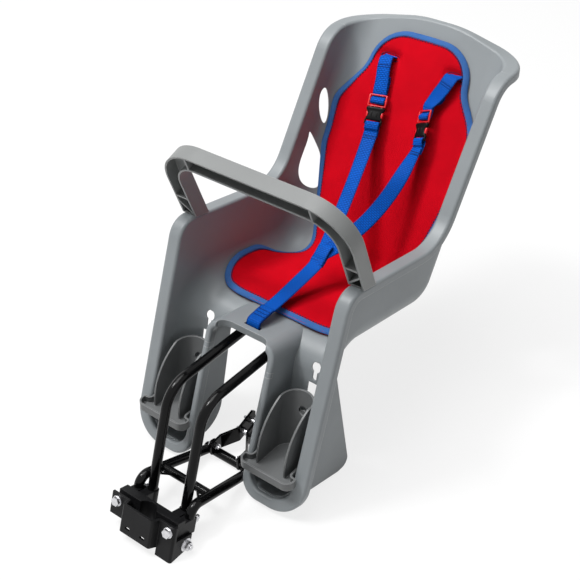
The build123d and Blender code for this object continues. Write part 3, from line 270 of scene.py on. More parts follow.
# Each cloth is darker in the gaps between its threads: painted shade.
pad_fabric = woven(
    "pad_fabric", PAD_RED, scale=900, wide=1.0, high=0.5, gap=0.16, depth=0.0003, roughness=0.8
)
webbing = woven(
    "webbing", STRAP_BLUE, scale=300, wide=1.8, high=0.95, gap=0.26, depth=0.0008, roughness=0.5,
    edge=WEBBING / 2, gap_shade=0.34,
)
binding_tape = woven(
    "binding_tape", TAPE_BLUE, scale=800, wide=1.0, high=0.5, gap=0.16, depth=0.0003, roughness=0.65,
    turn=radians(45),
)
thread = moulded("thread", THREAD_BLUE, 0.6, grain=0.3, gleam=0.2)

SLOTS = {
    "shell_plastic": shell_plastic,
    "bar_plastic": bar_plastic,
    "black_plastic": black_plastic,
    "red_plastic": red_plastic,
    "black_steel": black_steel,
    "satin_black_steel": satin_black_steel,
    "zinc": zinc,
    "pad_fabric": pad_fabric,
    "webbing": webbing,
}
for subpart in frame["record"]["subparts"]:
    mesh = nodes[subpart["node"]].data
    mesh.materials.clear()
    mesh.materials.append(SLOTS[subpart["material_slot"]])
# The footrests take the darker copy of the bar's plastic: painted shade.
for node in ("footrest_left", "footrest_right"):
    nodes[node].data.materials[0] = shaded_footrest_plastic

# The liner and the harness lie on the shell: each plane is an origin, the way along it and its normal
BACK = (Vector((0, 0.535, 0.14238)), Vector((0, 0.50754, 0.86163)), Vector((0, -0.86163, 0.50754)))
PAN = (Vector((0, 0.254, 0.197)), Vector((0, 0.98163, -0.19081)), Vector((0, 0.19081, 0.98163)))
PAN_END = 0.28626
CREASE_RADIUS = 0.060
CREASE_TURN = radians(70.5)
CREASE_ARC = CREASE_RADIUS * CREASE_TURN
CREASE_REACH = CREASE_RADIUS * tan(CREASE_TURN / 2)
FLAT_HALF = 0.107
SIDE_RADIUS = 0.040
SHELL_SLOT = (0.065, 0.37057)
SLOT = (0.0635, 0.3610)
SLOT_HALF = (0.0145, 0.003)
SLOT_STITCHES = 44


def on(plane, x, along, out=0.0):
    """A point in a plane's own coordinates."""
    return plane[0] + Vector((x, 0, 0)) + plane[1] * along + plane[2] * out


def pan_run(along):
    """How far along the liner a place on the pan is; the crease starts at nought."""
    return along - PAN_END + CREASE_REACH


def back_run(along):
    """How far along the liner a place on the back is."""
    return along - CREASE_REACH + CREASE_ARC


def lay(across, run, height):
    """A point over the shell: across and along its curved inside, and a height above it."""
    if run < 0:
        floor, normal = on(PAN, 0, run + PAN_END - CREASE_REACH), PAN[2]
    elif run > CREASE_ARC:
        floor, normal = on(BACK, 0, run - CREASE_ARC + CREASE_REACH), BACK[2]
    else:
        turn = run / CREASE_RADIUS
        normal = PAN[2] * cos(turn) - PAN[1] * sin(turn)
        floor = on(BACK, 0, CREASE_REACH, CREASE_RADIUS) - normal * CREASE_RADIUS
    out = abs(across)
    side, rise = out, height
    if out > FLAT_HALF:
        curl = (out - FLAT_HALF) / SIDE_RADIUS
        side = FLAT_HALF + (SIDE_RADIUS - height) * sin(curl)
        rise = SIDE_RADIUS - (SIDE_RADIUS - height) * cos(curl)
    return floor + normal * rise + Vector((side if across > 0 else -side, 0, 0))


def rounded(points, radii, step):
    """Points at even steps along a flat line whose corners are rounded."""
    line = [Vector(points[0])]
    for before, corner, after, radius in zip(points, points[1:], points[2:], radii):
        corner = Vector(corner)
        back_way = (Vector(before) - corner).normalized()
        on_way = (Vector(after) - corner).normalized()
        half = back_way.angle(on_way) / 2
        reach = radius / tan(half)
        middle = corner + (back_way + on_way).normalized() * radius / sin(half)
        start = corner + back_way * reach - middle
        end = corner + on_way * reach - middle
        turn = start.angle_signed(end)
        count = max(3, round(abs(turn) * radius / step))
        line += [middle + Matrix.Rotation(-turn * i / count, 2) @ start for i in range(count + 1)]
    line.append(Vector(points[-1]))
    even = []
    for start, end in zip(line, line[1:]):
        count = max(1, round((end - start).length / step))
        even += [start.lerp(end, i / count) for i in range(count)]
    return even + [line[-1]]


# Half of the liner's flat outline, from the front of the pan up to the top of the back
LINER_HALF = [
    (0, pan_run(0.0655)),
    (0.158, pan_run(0.0655)),
    (0.158, pan_run(0.195)),
    (0.091, 0.40 * CREASE_ARC),
    (0.141, back_run(0.190)),
    (0.141, back_run(0.272)),
    (0.093, back_run(0.338)),
    (0.084, back_run(0.409)),
    (0, back_run(0.4105)),
]
LINER_RADII = [0.088, 0.060, 0.055, 0.060, 0.045, 0.060, 0.064]
# Heights of the liner over the shell, and how its top falls to the border and the slots
LINER_UNDER = 0.0012
LINER_EDGE = 0.0050
LINER_FULL = 0.0110
LINER_ROUND = 0.009
SLOT_DIP = (0.0055, 0.007)
SLOT_DRAW = (0.0012, 0.02)
# Waves in the cloth, and folds where it turns from the pan to the back
WAVE = 0.0009
FOLD = 0.0016
FOLD_PLACE = 0.037
FOLD_REACH = 0.05
SWELL_STEPS = 20
SWELL_PRESSURE = 4.0
SWELL_CAP = 0.005
LEAN = 0.010
LEAN_HALF = 0.09
LEAN_START = 0.20
LEAN_LENGTH = 0.14
TAPE = 0.0085


def leant(across, run):
    """Where a place across the liner lies: its upper part sits to the right, drawn out on that side."""
    side = min(max(across / LEAN_HALF, -1.0), 1.0)
    rise = min(max((run - back_run(LEAN_START)) / LEAN_LENGTH, 0.0), 1.0)
    return across - LEAN * (0.7 - 0.4 * side) * rise * rise * (3 - 2 * rise)


def outline(step):
    """The liner's whole border as flat points with the way inward at each."""
    half = rounded(LINER_HALF, LINER_RADII, step)
    line = half[:-1] + [Vector((-p.x, p.y)) for p in half[:0:-1]]
    line = [Vector((leant(*p), p.y)) for p in line]
    places = []
    for i, point in enumerate(line):
        way = (line[(i + 1) % len(line)] - line[i - 1]).normalized()
        places.append((point, Vector((-way.y, way.x))))
    return places


def top_height(edge, slot=1.0):
    """The liner's top above the shell: thin where it is bound and at its slots."""
    full = LINER_EDGE + (LINER_FULL - LINER_EDGE) * (1 - exp(-edge / LINER_ROUND))
    dip = SLOT_DIP[0] * exp(-((slot / SLOT_DIP[1]) ** 2))
    return full - dip - SLOT_DRAW[0] * exp(-slot / SLOT_DRAW[1])


def new_piece(name, points, faces, material, uvs=None, body="seat"):
    """A smooth mesh piece that rides on a body. uvs are in metres, one to a point."""
    mesh = bpy.data.meshes.new(name)
    mesh.from_pydata(points, [], faces)
    bm = bmesh.new()
    bm.from_mesh(mesh)
    bmesh.ops.recalc_face_normals(bm, faces=bm.faces)
    bm.to_mesh(mesh)
    bm.free()
    mesh.shade_smooth()
    mesh.materials.append(material)
    if uvs:
        layer = mesh.uv_layers.new(name="cloth")
        for loop in mesh.loops:
            layer.data[loop.index].uv = uvs[loop.vertex_index]
    piece = bpy.data.objects.new(name, mesh)
    scene.collection.objects.link(piece)
    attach(piece, body)
    return piece


def subdivided(piece):
    """Adds a subdivision surface."""
    modifier = piece.modifiers.new("smooth", "SUBSURF")
    modifier.levels = 1
    modifier.render_levels = 1
    return piece


def skin(faces, base, rings, sides):
    """Adds the faces between rings of points, and one at each end."""
    for ring in range(rings - 1):
        for k in range(sides):
            a, b = base + ring * sides + k, base + ring * sides + (k + 1) % sides
            faces.append((a, b, b + sides, a + sides))
    for ring in (0, rings - 1):
        faces.append(tuple(base + ring * sides + k for k in range(sides)))


# Padded liner: a sewn envelope in the solid's place, thin at its border, then blown up as cloth
def half_width(run, line):
    """Half the liner's width at a place along it."""
    for a, b in zip(line, line[1:]):
        if a.y <= run <= b.y and b.y > a.y:
            return a.x + (b.x - a.x) * (run - a.y) / (b.y - a.y)
    return min(line, key=lambda p: abs(p.y - run)).x


def make_liner():
    """The pad as one crowned cloth form that stands for the liner's solid."""
    line = rounded(LINER_HALF, LINER_RADII, 0.002)
    first, last = line[0].y, line[-1].y
    ends = [0, 0.0007, 0.002, 0.0042, 0.007, 0.0105]
    inner = np.linspace(first + 0.0145, last - 0.0145, 118)
    runs = [first + e for e in ends] + list(inner) + [last - e for e in reversed(ends)]
    shares = [t * (1.35 - 0.35 * t * t) for t in np.linspace(-1, 1, 51)]
    border = np.array([p for p, _ in outline(0.003)])
    flat, insets, slots = [], [], []
    for run in runs:
        width = half_width(run, line)
        for share in shares:
            across = leant(width * share, run)
            flat.append((across, run))
            insets.append(float(np.hypot(border[:, 0] - across, border[:, 1] - run).min()))
            side = max(abs(abs(across) - SLOT[0]) - SLOT_HALF[0], 0)
            slots.append(hypot(side, max(abs(run - back_run(SLOT[1])) - SLOT_HALF[1], 0)))
    points, held = [], []
    for (across, run), inset, slot in zip(flat, insets, slots):
        in_crease = exp(-(((run - FOLD_PLACE) / FOLD_REACH) ** 2))
        wave = WAVE * mathutils.noise.noise(Vector((across * 18, run * 18, 1)))
        wave += FOLD * mathutils.noise.noise(Vector((across * 50, run * 12, 5))) * in_crease
        wave *= min(1, inset / 0.03) * min(1, slot / 0.02)
        points.append(lay(across, run, top_height(inset, slot) + wave))
        held.append(inset < TAPE + 0.004 or slot < 0.006)
    size, count = len(shares), len(flat)
    points += [lay(across, run, LINER_UNDER) for across, run in flat]
    held += [True] * count
    faces = []
    for i in range(len(runs) - 1):
        for k in range(size - 1):
            quad = (i * size + k, i * size + k + 1, (i + 1) * size + k + 1, (i + 1) * size + k)
            faces.append(quad)
            faces.append(tuple(q + count for q in reversed(quad)))
    rim = list(range(size)) + [i * size + size - 1 for i in range(1, len(runs))]
    rim += [(len(runs) - 1) * size + k for k in range(size - 2, -1, -1)]
    rim += [i * size for i in range(len(runs) - 2, 0, -1)]
    for a, b in zip(rim, rim[1:] + rim[:1]):
        faces.append((a, a + count, b + count, b))
    pad = new_piece("liner", points, faces, pad_fabric, flat + flat)
    swell(pad, held)
    subdivided(pad)
    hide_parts("seat_pad")


def swell(pad, held):
    """Blows a closed form up as cloth with some points held, and caps how far each point moves."""
    group = pad.vertex_groups.new(name="held")
    group.add([i for i, fixed in enumerate(held) if fixed], 1.0, "REPLACE")
    cloth = pad.modifiers.new("cloth", "CLOTH")
    cloth.settings.vertex_group_mass = "held"
    cloth.settings.use_pressure = True
    cloth.settings.uniform_pressure_force = SWELL_PRESSURE
    cloth.settings.effector_weights.gravity = 0
    for step in range(1, SWELL_STEPS + 1):
        scene.frame_set(step)
    whole = pad.evaluated_get(bpy.context.evaluated_depsgraph_get())
    moved = [v.co.copy() for v in whole.data.vertices]
    pad.modifiers.clear()
    scene.frame_set(1)
    for vertex, place in zip(pad.data.vertices, moved):
        shift = place - vertex.co
        if shift.length > SWELL_CAP:
            shift *= SWELL_CAP / shift.length
        vertex.co += shift
    pad.data.update()


make_liner()


# Bias tape folded over the liner's edge, and the line of stitches that holds it
def make_binding():
    """The tape as one closed band, round the edge from under the liner to its top face."""
    places = outline(0.004)
    section = [(TAPE + 0.0008, -0.0012), (TAPE, 0.0007), (0.0060, 0.0013), (0.0032, 0.0013), (0.0008, 0.0006)]
    rails = []
    for inset, lift in section:
        rails.append([lay(*(p + w * inset), top_height(inset) + lift) for p, w in places])
    for inset, height in ((-0.0010, 0.0038), (-0.0008, 0.0018), (0.0030, 0.0008)):
        rails.append([lay(*(p + w * inset), height) for p, w in places])
    count = len(places)
    faces = []
    for k in range(len(rails)):
        after = (k + 1) % len(rails)
        for i in range(count):
            j = (i + 1) % count
            faces.append((k * count + i, k * count + j, after * count + j, after * count + i))
    run = [0.0]
    for a, b in zip(rails[1], rails[1][1:]):
        run.append(run[-1] + (b - a).length)
    uvs = [(k * 0.003, run[i]) for k in range(len(rails)) for i in range(count)]
    tape = new_piece("liner_binding", [p for rail in rails for p in rail], faces, binding_tape, uvs)
    subdivided(tape)


def stitches(name, ends, radius):
    """A row of thread stitches, each a short rounded bar between two points with a normal."""
    points, faces = [], []
    for start, end, normal in ends:
        way = (end - start).normalized()
        side = way.cross(normal).normalized()
        base = len(points)
        for share, size in ((0, 0.45), (0.18, 1), (0.82, 1), (1, 0.45)):
            middle = start.lerp(end, share) + normal * radius * (0.2 if 0 < share < 1 else -0.6)
            for k in range(6):
                turn = 2 * pi * k / 6
                points.append(middle + (side * cos(turn) + normal * sin(turn)) * radius * size)
        skin(faces, base, 4, 6)
    new_piece(name, points, faces, thread)


def seam(line, inset, pitch=0.0052, share=0.68):
    """Stitch ends at an even pitch along a flat line, at an inset, on the liner's top."""
    ends, spare = [], 0.0
    for (p, w), (q, v) in zip(line, line[1:] + line[:1]):
        spare += (q - p).length
        if spare >= pitch:
            spare -= pitch
            flat = p + w * inset
            far = q + v * inset
            way = (far - flat).normalized() * pitch * share
            low, high = (lay(*f, top_height(inset) + 0.0003) for f in (flat, flat + way))
            ends.append((low, high, (lay(*flat, 0.012) - lay(*flat, 0.002)).normalized()))
    return ends


make_binding()
stitches("liner_stitching", seam(outline(0.0013), TAPE + 0.0012), 0.0009)


def buttonhole(side):
    """Stitches close together round one of the liner's slots."""
    ends = []
    for k in range(SLOT_STITCHES):
        turn = 2 * pi * k / SLOT_STITCHES
        across = side * SLOT[0] + (SLOT_HALF[0] + 0.0022) * cos(turn)
        flat = Vector((across, back_run(SLOT[1]) + 0.0052 * sin(turn)))
        way = Vector((cos(turn) * 0.4, sin(turn))).normalized() * 0.0024
        low = lay(*flat, top_height(1.0, 0.0012) + 0.0002)
        high = lay(*(flat + way), top_height(1.0, 0.0036) + 0.0002)
        ends.append((low, high, BACK[2]))
    return ends


stitches("slot_stitching", buttonhole(1) + buttonhole(-1), 0.0005)

# Harness: webbing straps, each a flat band along a smooth line with its own way across
WEB_THICK = 0.0017
TACK_PITCH = 0.0025
TACK_STITCH = 0.0018


def spline(values, step=0.0025):
    """Points of a smooth line through the given ones; each carries its way across."""
    ends = [values[0]] + values + [values[-1]]
    line = []
    for a, b, c, d in zip(ends, ends[1:], ends[2:], ends[3:]):
        count = max(2, round((c[0] - b[0]).length / step))
        for i in range(count):
            s = i / count
            mixed = []
            for k in range(2):
                slope = c[k] - a[k]
                bend = 2 * a[k] - 5 * b[k] + 4 * c[k] - d[k]
                swerve = 3 * b[k] - a[k] - 3 * c[k] + d[k]
                mixed.append(0.5 * (2 * b[k] + slope * s + bend * s**2 + swerve * s**3))
            line.append((mixed[0], mixed[1].normalized()))
    line.append((values[-1][0], values[-1][1].normalized()))
    return line


def strap(name, values, width=WEBBING, replaced=None):
    """A webbing band through points, each with its way across; its edges are a little thinner."""
    line = spline(values)
    shares = [-1, -0.97, -0.8, -0.4, 0, 0.4, 0.8, 0.97, 1]
    heights = [0.25, 0.8, 1, 0.94, 0.92, 0.94, 1, 0.8, 0.25]
    top = list(zip(shares, heights))
    section = top + [(s, -h) for s, h in reversed(top)]
    points, uvs, faces = [], [], []
    run = 0.0
    for i, (point, across) in enumerate(line):
        way = line[min(i + 1, len(line) - 1)][0] - line[max(i - 1, 0)][0]
        across = (across - way * across.dot(way) / way.length_squared).normalized()
        normal = across.cross(way).normalized()
        run += (point - line[max(i - 1, 0)][0]).length
        for share, height in section:
            points.append(point + across * share * width / 2 + normal * height * WEB_THICK / 2)
            uvs.append((share * width / 2, run))
    skin(faces, 0, len(line), len(section))
    piece = new_piece(name, points, faces, webbing, uvs)
    if replaced:
        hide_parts(replaced)
    return line


def tack(name, line, at, rows=2, spacing=0.004):
    """Rows of stitches across a strap at a place along it, on its outer face."""
    ends = []
    run, index = 0.0, 1
    while index < len(line) - 1 and run < at:
        run += (line[index][0] - line[index - 1][0]).length
        index += 1
    point, across = line[index]
    way = (line[index + 1][0] - line[index - 1][0]).normalized()
    across = (across - way * across.dot(way)).normalized()
    normal = across.cross(way).normalized()
    if normal.dot(BACK[2] + PAN[2]) < 0:
        normal = -normal
    for r in range(rows):
        middle = point + way * spacing * r + normal * WEB_THICK / 2
        for k in range(-4, 5):
            start = middle + across * (k * TACK_PITCH - TACK_STITCH / 2)
            ends.append((start, start + across * TACK_STITCH, normal))
    stitches(name, ends, 0.0007)


STRAP_START = Vector((0.065, 0.71015, 0.46929))
STRAP_ALONG = Vector((-0.18465, -0.60984, -0.77072))
STRAP_ACROSS = Vector((0.98249, -0.09457, -0.16055))
STRAP_OUT = Vector((0.02502, -0.78686, 0.61662))
MEET = Vector((0, 0.432, 0.227))
MEET_UP = Vector((0, 0.8132, 0.58198))
MEET_OUT = Vector((0, -0.58198, 0.8132))
LATCH_START = 0.076
LATCH_LENGTH = 0.022
BODY_START = 0.0983
BODY_LENGTH = 0.030
BUCKLE_HALF = 0.0165


def side_frame(side, twist, swing):
    """One shoulder's plain start, way along and way across, and the frame its buckle hangs in."""
    mirror = Matrix.Diagonal((side, 1, 1))
    start, along, out = (mirror @ v for v in (STRAP_START, STRAP_ALONG, STRAP_OUT))
    plain = (mirror @ STRAP_ACROSS) * side
    middle = (LATCH_START + BODY_START + BODY_LENGTH) / 2
    swung = Matrix.Rotation(swing, 3, out)
    turn = Matrix.Rotation(twist, 3, swung @ along) @ swung
    buckle_start = start + along * middle - (turn @ along) * middle
    return (start, along, plain), (buckle_start, turn @ along, turn @ plain, turn @ out)


def squared(turn, sharp_across, sharp_out):
    """A point of a circle squared off: each way is raised to a power and keeps its sign."""
    ways = ((cos(turn), sharp_across), (sin(turn), sharp_out))
    return [abs(way) ** power * (1 if way >= 0 else -1) for way, power in ways]


def solid_bar(parts, start, end, half, middle, sides=10, power=2.6):
    """Adds a rounded bar along a buckle to its points and faces."""
    points, faces = parts
    base = len(points)
    lead = 0.12 * (end - start)
    for at, size in ((start, 0.55), (start + lead, 1.0), (end - lead, 1.0), (end, 0.55)):
        for k in range(sides):
            a, b = squared(2 * pi * k / sides, 2 / power, 2 / power)
            points.append((middle[0] + a * half[0] * size, at, middle[1] + b * half[1] * size))
    skin(faces, base, 4, sides)


def crosswise(parts, at, half_along, half_across, half_out, sides=10):
    """Adds a rounded bar across a buckle to its points and faces."""
    points, faces = parts
    base = len(points)
    for share, size in ((-1, 0.6), (-0.93, 1), (0.93, 1), (1, 0.6)):
        for k in range(sides):
            turn = 2 * pi * k / sides
            place = at + cos(turn) * half_along * size
            points.append((share * half_across, place, sin(turn) * half_out * size))
    skin(faces, base, 4, sides)


def in_frame(points, start, along, across, out):
    """Points given across, along and out of a buckle, put in its place."""
    return [start + across * a + along * b + out * c for a, b, c in points]


def make_latch(name, node, frame_at):
    """The red part: a ladder frame for the upper strap, and two prongs that show at the body's waist."""
    parts = ([], [])
    end = LATCH_START + LATCH_LENGTH
    middle = LATCH_START + LATCH_LENGTH / 2
    tip = (BODY_START + 0.0075, BODY_START + 0.0185)
    for at in (LATCH_START + 0.0016, middle, end - 0.0016):
        crosswise(parts, at, 0.0016, BUCKLE_HALF - 0.0006, 0.0019)
    for side in (-1, 1):
        solid_bar(parts, LATCH_START, end, (0.0018, 0.0020), (side * (BUCKLE_HALF - 0.0018), 0))
        solid_bar(parts, end - 0.002, BODY_START + 0.011, (0.0021, 0.0017), (side * 0.0092, 0))
        solid_bar(parts, *tip, (0.0024, 0.0026), (side * 0.0128, 0), 12, 2)
    piece = subdivided(new_piece(name, in_frame(parts[0], *frame_at), parts[1], red_plastic))
    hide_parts(node)


# The buckle body's shell: how far along, and its shares of the full width and thickness there
BODY_PROFILE = [
    (0.0000, 0.86, 0.70),
    (0.0008, 0.97, 0.92),
    (0.0022, 1.00, 1.00),
    (0.0042, 0.99, 0.98),
    (0.0050, 0.97, 0.86),
    (0.0075, 0.88, 0.84),
    (0.0100, 0.76, 0.86),
    (0.0130, 0.70, 0.88),
    (0.0160, 0.74, 0.88),
    (0.0190, 0.84, 0.84),
    (0.0215, 0.90, 0.74),
    (0.0228, 0.88, 0.55),
]
BODY_SIDES = 28


def make_body(name, node, frame_at):
    """The black part: a waisted shell with a lip at its mouth, two ribs and a bar for the lower strap."""
    parts = ([], [])
    points, faces = parts
    for along, wide, thick in BODY_PROFILE:
        for k in range(BODY_SIDES):
            a, b = squared(2 * pi * k / BODY_SIDES, 0.42, 0.62)
            points.append((a * BUCKLE_HALF * wide, BODY_START + along, b * 0.0045 * thick))
    skin(faces, 0, len(BODY_PROFILE), BODY_SIDES)
    end = BODY_START + BODY_LENGTH
    rib = (BODY_START + 0.0085, BODY_START + 0.0175)
    for side in (-1, 1):
        solid_bar(parts, BODY_START + 0.021, end, (0.0016, 0.0026), (side * (BUCKLE_HALF - 0.0025), 0))
        solid_bar(parts, *rib, (0.0012, 0.0006), (side * 0.0045, 0.0040), 8)
    crosswise(parts, end - 0.0019, 0.0019, BUCKLE_HALF - 0.0015, 0.0021)
    piece = subdivided(new_piece(name, in_frame(points, *frame_at), faces, black_plastic))
    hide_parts(node)


# Straps at a buckle, point by point: how far along, how high, and how far turned from the strap to the buckle
FLAT = Vector((1, 0, 0))
UPPER_ROUTE = [
    (0.012, 0.0024, 0.0),
    (0.022, 0.0052, 0.0),
    (0.036, 0.0046, 0.05),
    (0.052, 0.0014, 0.3),
    (0.068, -0.0006, 0.8),
    (0.0778, -0.0034, 1.0),
    (0.0826, -0.0002, 1.0),
    (0.087, 0.0029, 1.0),
    (0.0914, 0.0002, 1.0),
    (0.0905, -0.0040, 1.0),
    (0.080, -0.0056, 1.0),
    (0.066, -0.0044, 0.8),
    (0.054, -0.0066, 0.4),
    (0.044, -0.0034, 0.2),
]
# The lower strap is measured from the buckle's end
LOWER_ROUTE = [
    (0.020, -0.0034, 0.8),
    (0.006, -0.0040, 1.0),
    (-0.0018, -0.0034, 1.0),
    (-0.0052, 0.0, 1.0),
    (-0.0018, 0.0034, 1.0),
    (0.007, 0.0022, 1.0),
    (0.018, -0.0006, 0.8),
]


def make_side(side, word, twist, swing, sag, roll):
    """One shoulder: its strap through the back, the buckle, and the lower strap on to the joint."""
    (start, along, plain), frame_at = side_frame(side, twist, swing)
    slot_line = [on(BACK, side * SHELL_SLOT[0], SHELL_SLOT[1], w) for w in (-0.011, -0.002)]
    slot_line.append(on(BACK, side * SLOT[0], SLOT[1] + 0.001, 0.006))

    def at(run, height, turned):
        """A point of a strap and its way across."""
        way = plain.lerp(frame_at[2], turned).normalized()
        place = (start + along * run).lerp(frame_at[0] + frame_at[1] * run, turned)
        return place + along.lerp(frame_at[1], turned).normalized().cross(way) * height, way

    upper = [(p, FLAT) for p in slot_line] + [at(*place) for place in UPPER_ROUTE]
    line = strap("shoulder_webbing_" + word, upper, replaced="shoulder_strap_" + word)
    tack("shoulder_tack_" + word, line, 0.046)
    make_latch("latch_" + word, "buckle_latch_" + word, frame_at)
    make_body("buckle_" + word, "buckle_body_" + word, frame_at)
    end = BODY_START + BODY_LENGTH
    loop = [at(end + run, height, turned) for run, height, turned in LOWER_ROUTE]
    last = loop[-1][0]
    middle_way = Vector((0.986, -side * 0.13, -side * 0.10)).normalized()
    lift = MEET_OUT * (0.0014 if side > 0 else -0.0012)
    meet = MEET + lift
    facing = Matrix.Rotation(roll, 3, along)
    for share in (0.30, 0.55, 0.8):
        way = facing @ plain.lerp(middle_way, share)
        bow = sin(pi * share)
        loop.append((last.lerp(meet, share) + sag * bow, way.normalized()))
    loop += [(meet + MEET_UP * 0.004, middle_way), (meet - MEET_UP * 0.012, FLAT)]
    line = strap("lower_webbing_" + word, loop, replaced="lower_strap_" + word)
    tack("lower_tack_" + word, line, 0.050)


LEFT_SAG = Vector((0.013, 0.002, -0.012))
RIGHT_SAG = Vector((0.002, 0.000, -0.004))
make_side(1, "left", twist=radians(32), swing=radians(22), sag=LEFT_SAG, roll=radians(-26))
make_side(-1, "right", twist=radians(-12), swing=0, sag=RIGHT_SAG, roll=0)

# Crotch strap: folded over the joint of the lower straps, down to the slot at the front of the pan
CROTCH_SLOT = 0.00829
crotch_top = MEET + MEET_OUT * 0.0036
crotch_low = on(PAN, 0, CROTCH_SLOT, 0.006)
crotch = [
    (MEET + MEET_UP * 0.021 - MEET_OUT * 0.0034, FLAT),
    (MEET + MEET_UP * 0.0245, FLAT),
    (crotch_top + MEET_UP * 0.021, FLAT),
    (crotch_top + MEET_UP * 0.006, Vector((1, 0, 0.05))),
    (crotch_top - MEET_UP * 0.014 - MEET_OUT * 0.0012, Vector((1, 0, -0.04))),
    ((crotch_top * 2 + crotch_low) / 3 + Vector((0, 0, -0.007)), Vector((1, 0, -0.03))),
    ((crotch_top + crotch_low * 2) / 3 + Vector((0, 0, -0.004)), Vector((1, 0, 0.03))),
    (crotch_low + Vector((0, 0.016, 0.0040)), FLAT),
    (crotch_low + Vector((0, 0.0015, 0.0016)), FLAT),
    (on(PAN, 0, CROTCH_SLOT, -0.002), FLAT),
    (on(PAN, 0, CROTCH_SLOT, -0.011), FLAT),
]
crotch_line = strap("crotch_webbing", crotch, replaced="crotch_strap")
tack("crotch_tack_high", crotch_line, 0.032, 3, 0.006)
end_fold = [
    (crotch_low + Vector((0, 0.034, 0.0074)), FLAT),
    (crotch_low + Vector((0, 0.017, 0.0061)), FLAT),
    (crotch_low + Vector((0, 0.0, 0.0030)), FLAT),
    (on(PAN, 0, CROTCH_SLOT - 0.0022, -0.002), FLAT),
]
fold_line = strap("crotch_fold", end_fold, WEBBING * 1.02)
tack("crotch_tack_low", fold_line, 0.006, 3, 0.007)

# Rolled rim on each leg's inner edge, where the guard's rim runs on into the rim under the pan
RIM_FOOT = Vector((0, 0.2150, 0.1540))
RIM_UP = Vector((0, 0.3303, 0.9439))
RIM_BACK = Vector((0, 0.9439, -0.3303))
RIM_RUN = (-0.0002, 0.0087)
RIM_SIDES = (0.055, 0.067)
RIM_DEPTHS = (0.014, 0.008)
RIM_WALL = 0.003
RIM_ROUND = 0.005


def rim_section():
    """The rim's section, across and back from its front: a channel with a rounded front."""
    (low, high), (deep, shallow) = RIM_SIDES, RIM_DEPTHS
    turns = [radians(15 * k) for k in range(7)]
    section = [(low, deep)]
    section += [(low + RIM_ROUND * (1 - cos(t)), RIM_ROUND * (1 - sin(t))) for t in turns]
    section += [(high - RIM_ROUND * (1 - sin(t)), RIM_ROUND * (1 - cos(t))) for t in turns]
    section += [(high, shallow), (high - RIM_WALL, shallow), (high - RIM_WALL, RIM_WALL)]
    return section + [(low + RIM_WALL, RIM_WALL), (low + RIM_WALL, deep)]


def make_rim_joint(side, word):
    """One short length of rim."""
    section = rim_section()
    points, faces = [], []
    for run in RIM_RUN:
        for across, depth in section:
            points.append(RIM_FOOT + Vector((side * across, 0, 0)) + RIM_BACK * depth + RIM_UP * run)
    skin(faces, 0, len(RIM_RUN), len(section))
    piece = new_piece("rim_joint_" + word, points, faces, shell_plastic)
    piece.data.set_sharp_from_angle(angle=radians(40))


make_rim_joint(1, "left")
make_rim_joint(-1, "right")

# Floor, light and camera
FLOOR_HALF = 6
FLOOR_WHITE = 0.80
corners = [(x * FLOOR_HALF, y * FLOOR_HALF, GROUND) for x, y in ((-1, -1), (1, -1), (1, 1), (-1, 1))]
floor_mesh = bpy.data.meshes.new("floor")
floor_mesh.from_pydata(corners, [], [(0, 1, 2, 3)])
floor = bpy.data.objects.new("floor", floor_mesh)
scene.collection.objects.link(floor)
floor_paint, floor_tree, floor_shader, _ = new_material("floor_paint")
floor_shader.inputs["Base Color"].default_value = (0.92, 0.92, 0.92, 1)
floor_shader.inputs["Roughness"].default_value = 0.9


def seen(tree):
    """One where the background itself is seen, straight on, in a gloss or through glass."""
    rays = tree.nodes.new("ShaderNodeLightPath")
    gloss = calc(tree, "MAXIMUM", rays.outputs["Is Camera Ray"], rays.outputs["Is Glossy Ray"])
    return calc(tree, "MAXIMUM", gloss, rays.outputs["Is Transmission Ray"])


glow = floor_tree.nodes.new("ShaderNodeEmission")
glow.inputs["Color"].default_value = (1, 1, 1, 1)
glow.inputs["Strength"].default_value = 1.0
floor_mix = floor_tree.nodes.new("ShaderNodeMixShader")
floor_tree.links.new(calc(floor_tree, "MULTIPLY", seen(floor_tree), FLOOR_WHITE), floor_mix.inputs[0])
floor_tree.links.new(floor_shader.outputs["BSDF"], floor_mix.inputs[1])
floor_tree.links.new(glow.outputs["Emission"], floor_mix.inputs[2])
floor_tree.links.new(floor_mix.outputs["Shader"], floor_tree.nodes["Material Output"].inputs["Surface"])
floor_mesh.materials.append(floor_paint)

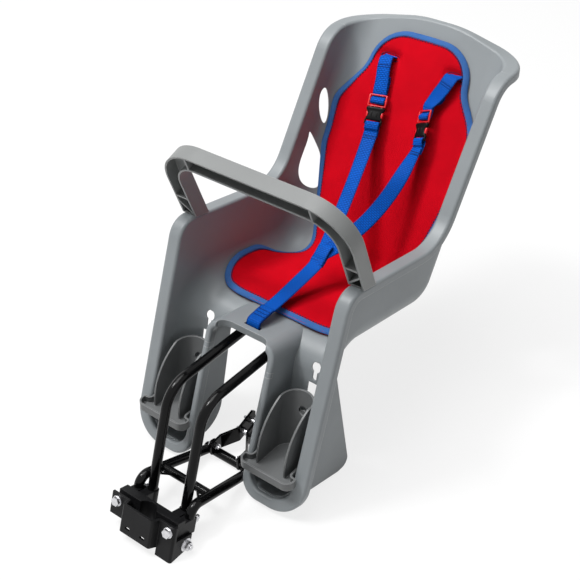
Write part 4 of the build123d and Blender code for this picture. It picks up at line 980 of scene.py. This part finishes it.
world = bpy.data.worlds.new("studio")
scene.world = world
world.use_nodes = True
world_tree = world.node_tree
sky = world_tree.nodes["Background"]
sky.inputs["Color"].default_value = (1, 1, 1, 1)
sky.inputs["Strength"].default_value = 0.17
bright = world_tree.nodes.new("ShaderNodeBackground")
bright.inputs["Color"].default_value = (1, 1, 1, 1)
bright.inputs["Strength"].default_value = 1.0
sky_mix = world_tree.nodes.new("ShaderNodeMixShader")
world_tree.links.new(seen(world_tree), sky_mix.inputs[0])
world_tree.links.new(sky.outputs["Background"], sky_mix.inputs[1])
world_tree.links.new(bright.outputs["Background"], sky_mix.inputs[2])
world_tree.links.new(sky_mix.outputs["Shader"], world_tree.nodes["World Output"].inputs["Surface"])


def lamp(name, place, aim, size, power):
    """A square soft box."""
    light = bpy.data.lights.new(name, "AREA")
    light.size = size
    light.energy = power
    holder = bpy.data.objects.new(name, light)
    holder.location = place
    holder.rotation_euler = (Vector(aim) - Vector(place)).to_track_quat("-Z", "Y").to_euler()
    scene.collection.objects.link(holder)


lamp("key", (-1.9, -1.3, 4.5), (0, 0.3, 0.2), 1.0, 150)
lamp("top", (-0.6, -0.1, 4.7), (0, 0.35, 0.2), 3.0, 175)

CAMERA_PLACE = Vector((0.882605, -0.774147, 1.273607))
CAMERA_TURN = radians(38.058)
CAMERA_DOWN = radians(36.614)
CAMERA_ROLL = radians(-0.4016)
right = Vector((cos(CAMERA_TURN), sin(CAMERA_TURN), 0))
away = Vector((sin(CAMERA_TURN), -cos(CAMERA_TURN), 0))
back = away * cos(CAMERA_DOWN) + Vector((0, 0, sin(CAMERA_DOWN)))
level_up = back.cross(right)
rolled_right = cos(CAMERA_ROLL) * right + sin(CAMERA_ROLL) * level_up
rolled_up = cos(CAMERA_ROLL) * level_up - sin(CAMERA_ROLL) * right
lens = bpy.data.cameras.new("camera")
lens.sensor_width = 36
lens.sensor_fit = "HORIZONTAL"
lens.lens = 70.01
camera = bpy.data.objects.new("camera", lens)
axes = Matrix((rolled_right, rolled_up, back)).transposed()
camera.matrix_world = Matrix.Translation(CAMERA_PLACE) @ axes.to_4x4()
scene.collection.objects.link(camera)
scene.camera = camera
scene.view_settings.view_transform = "Standard"
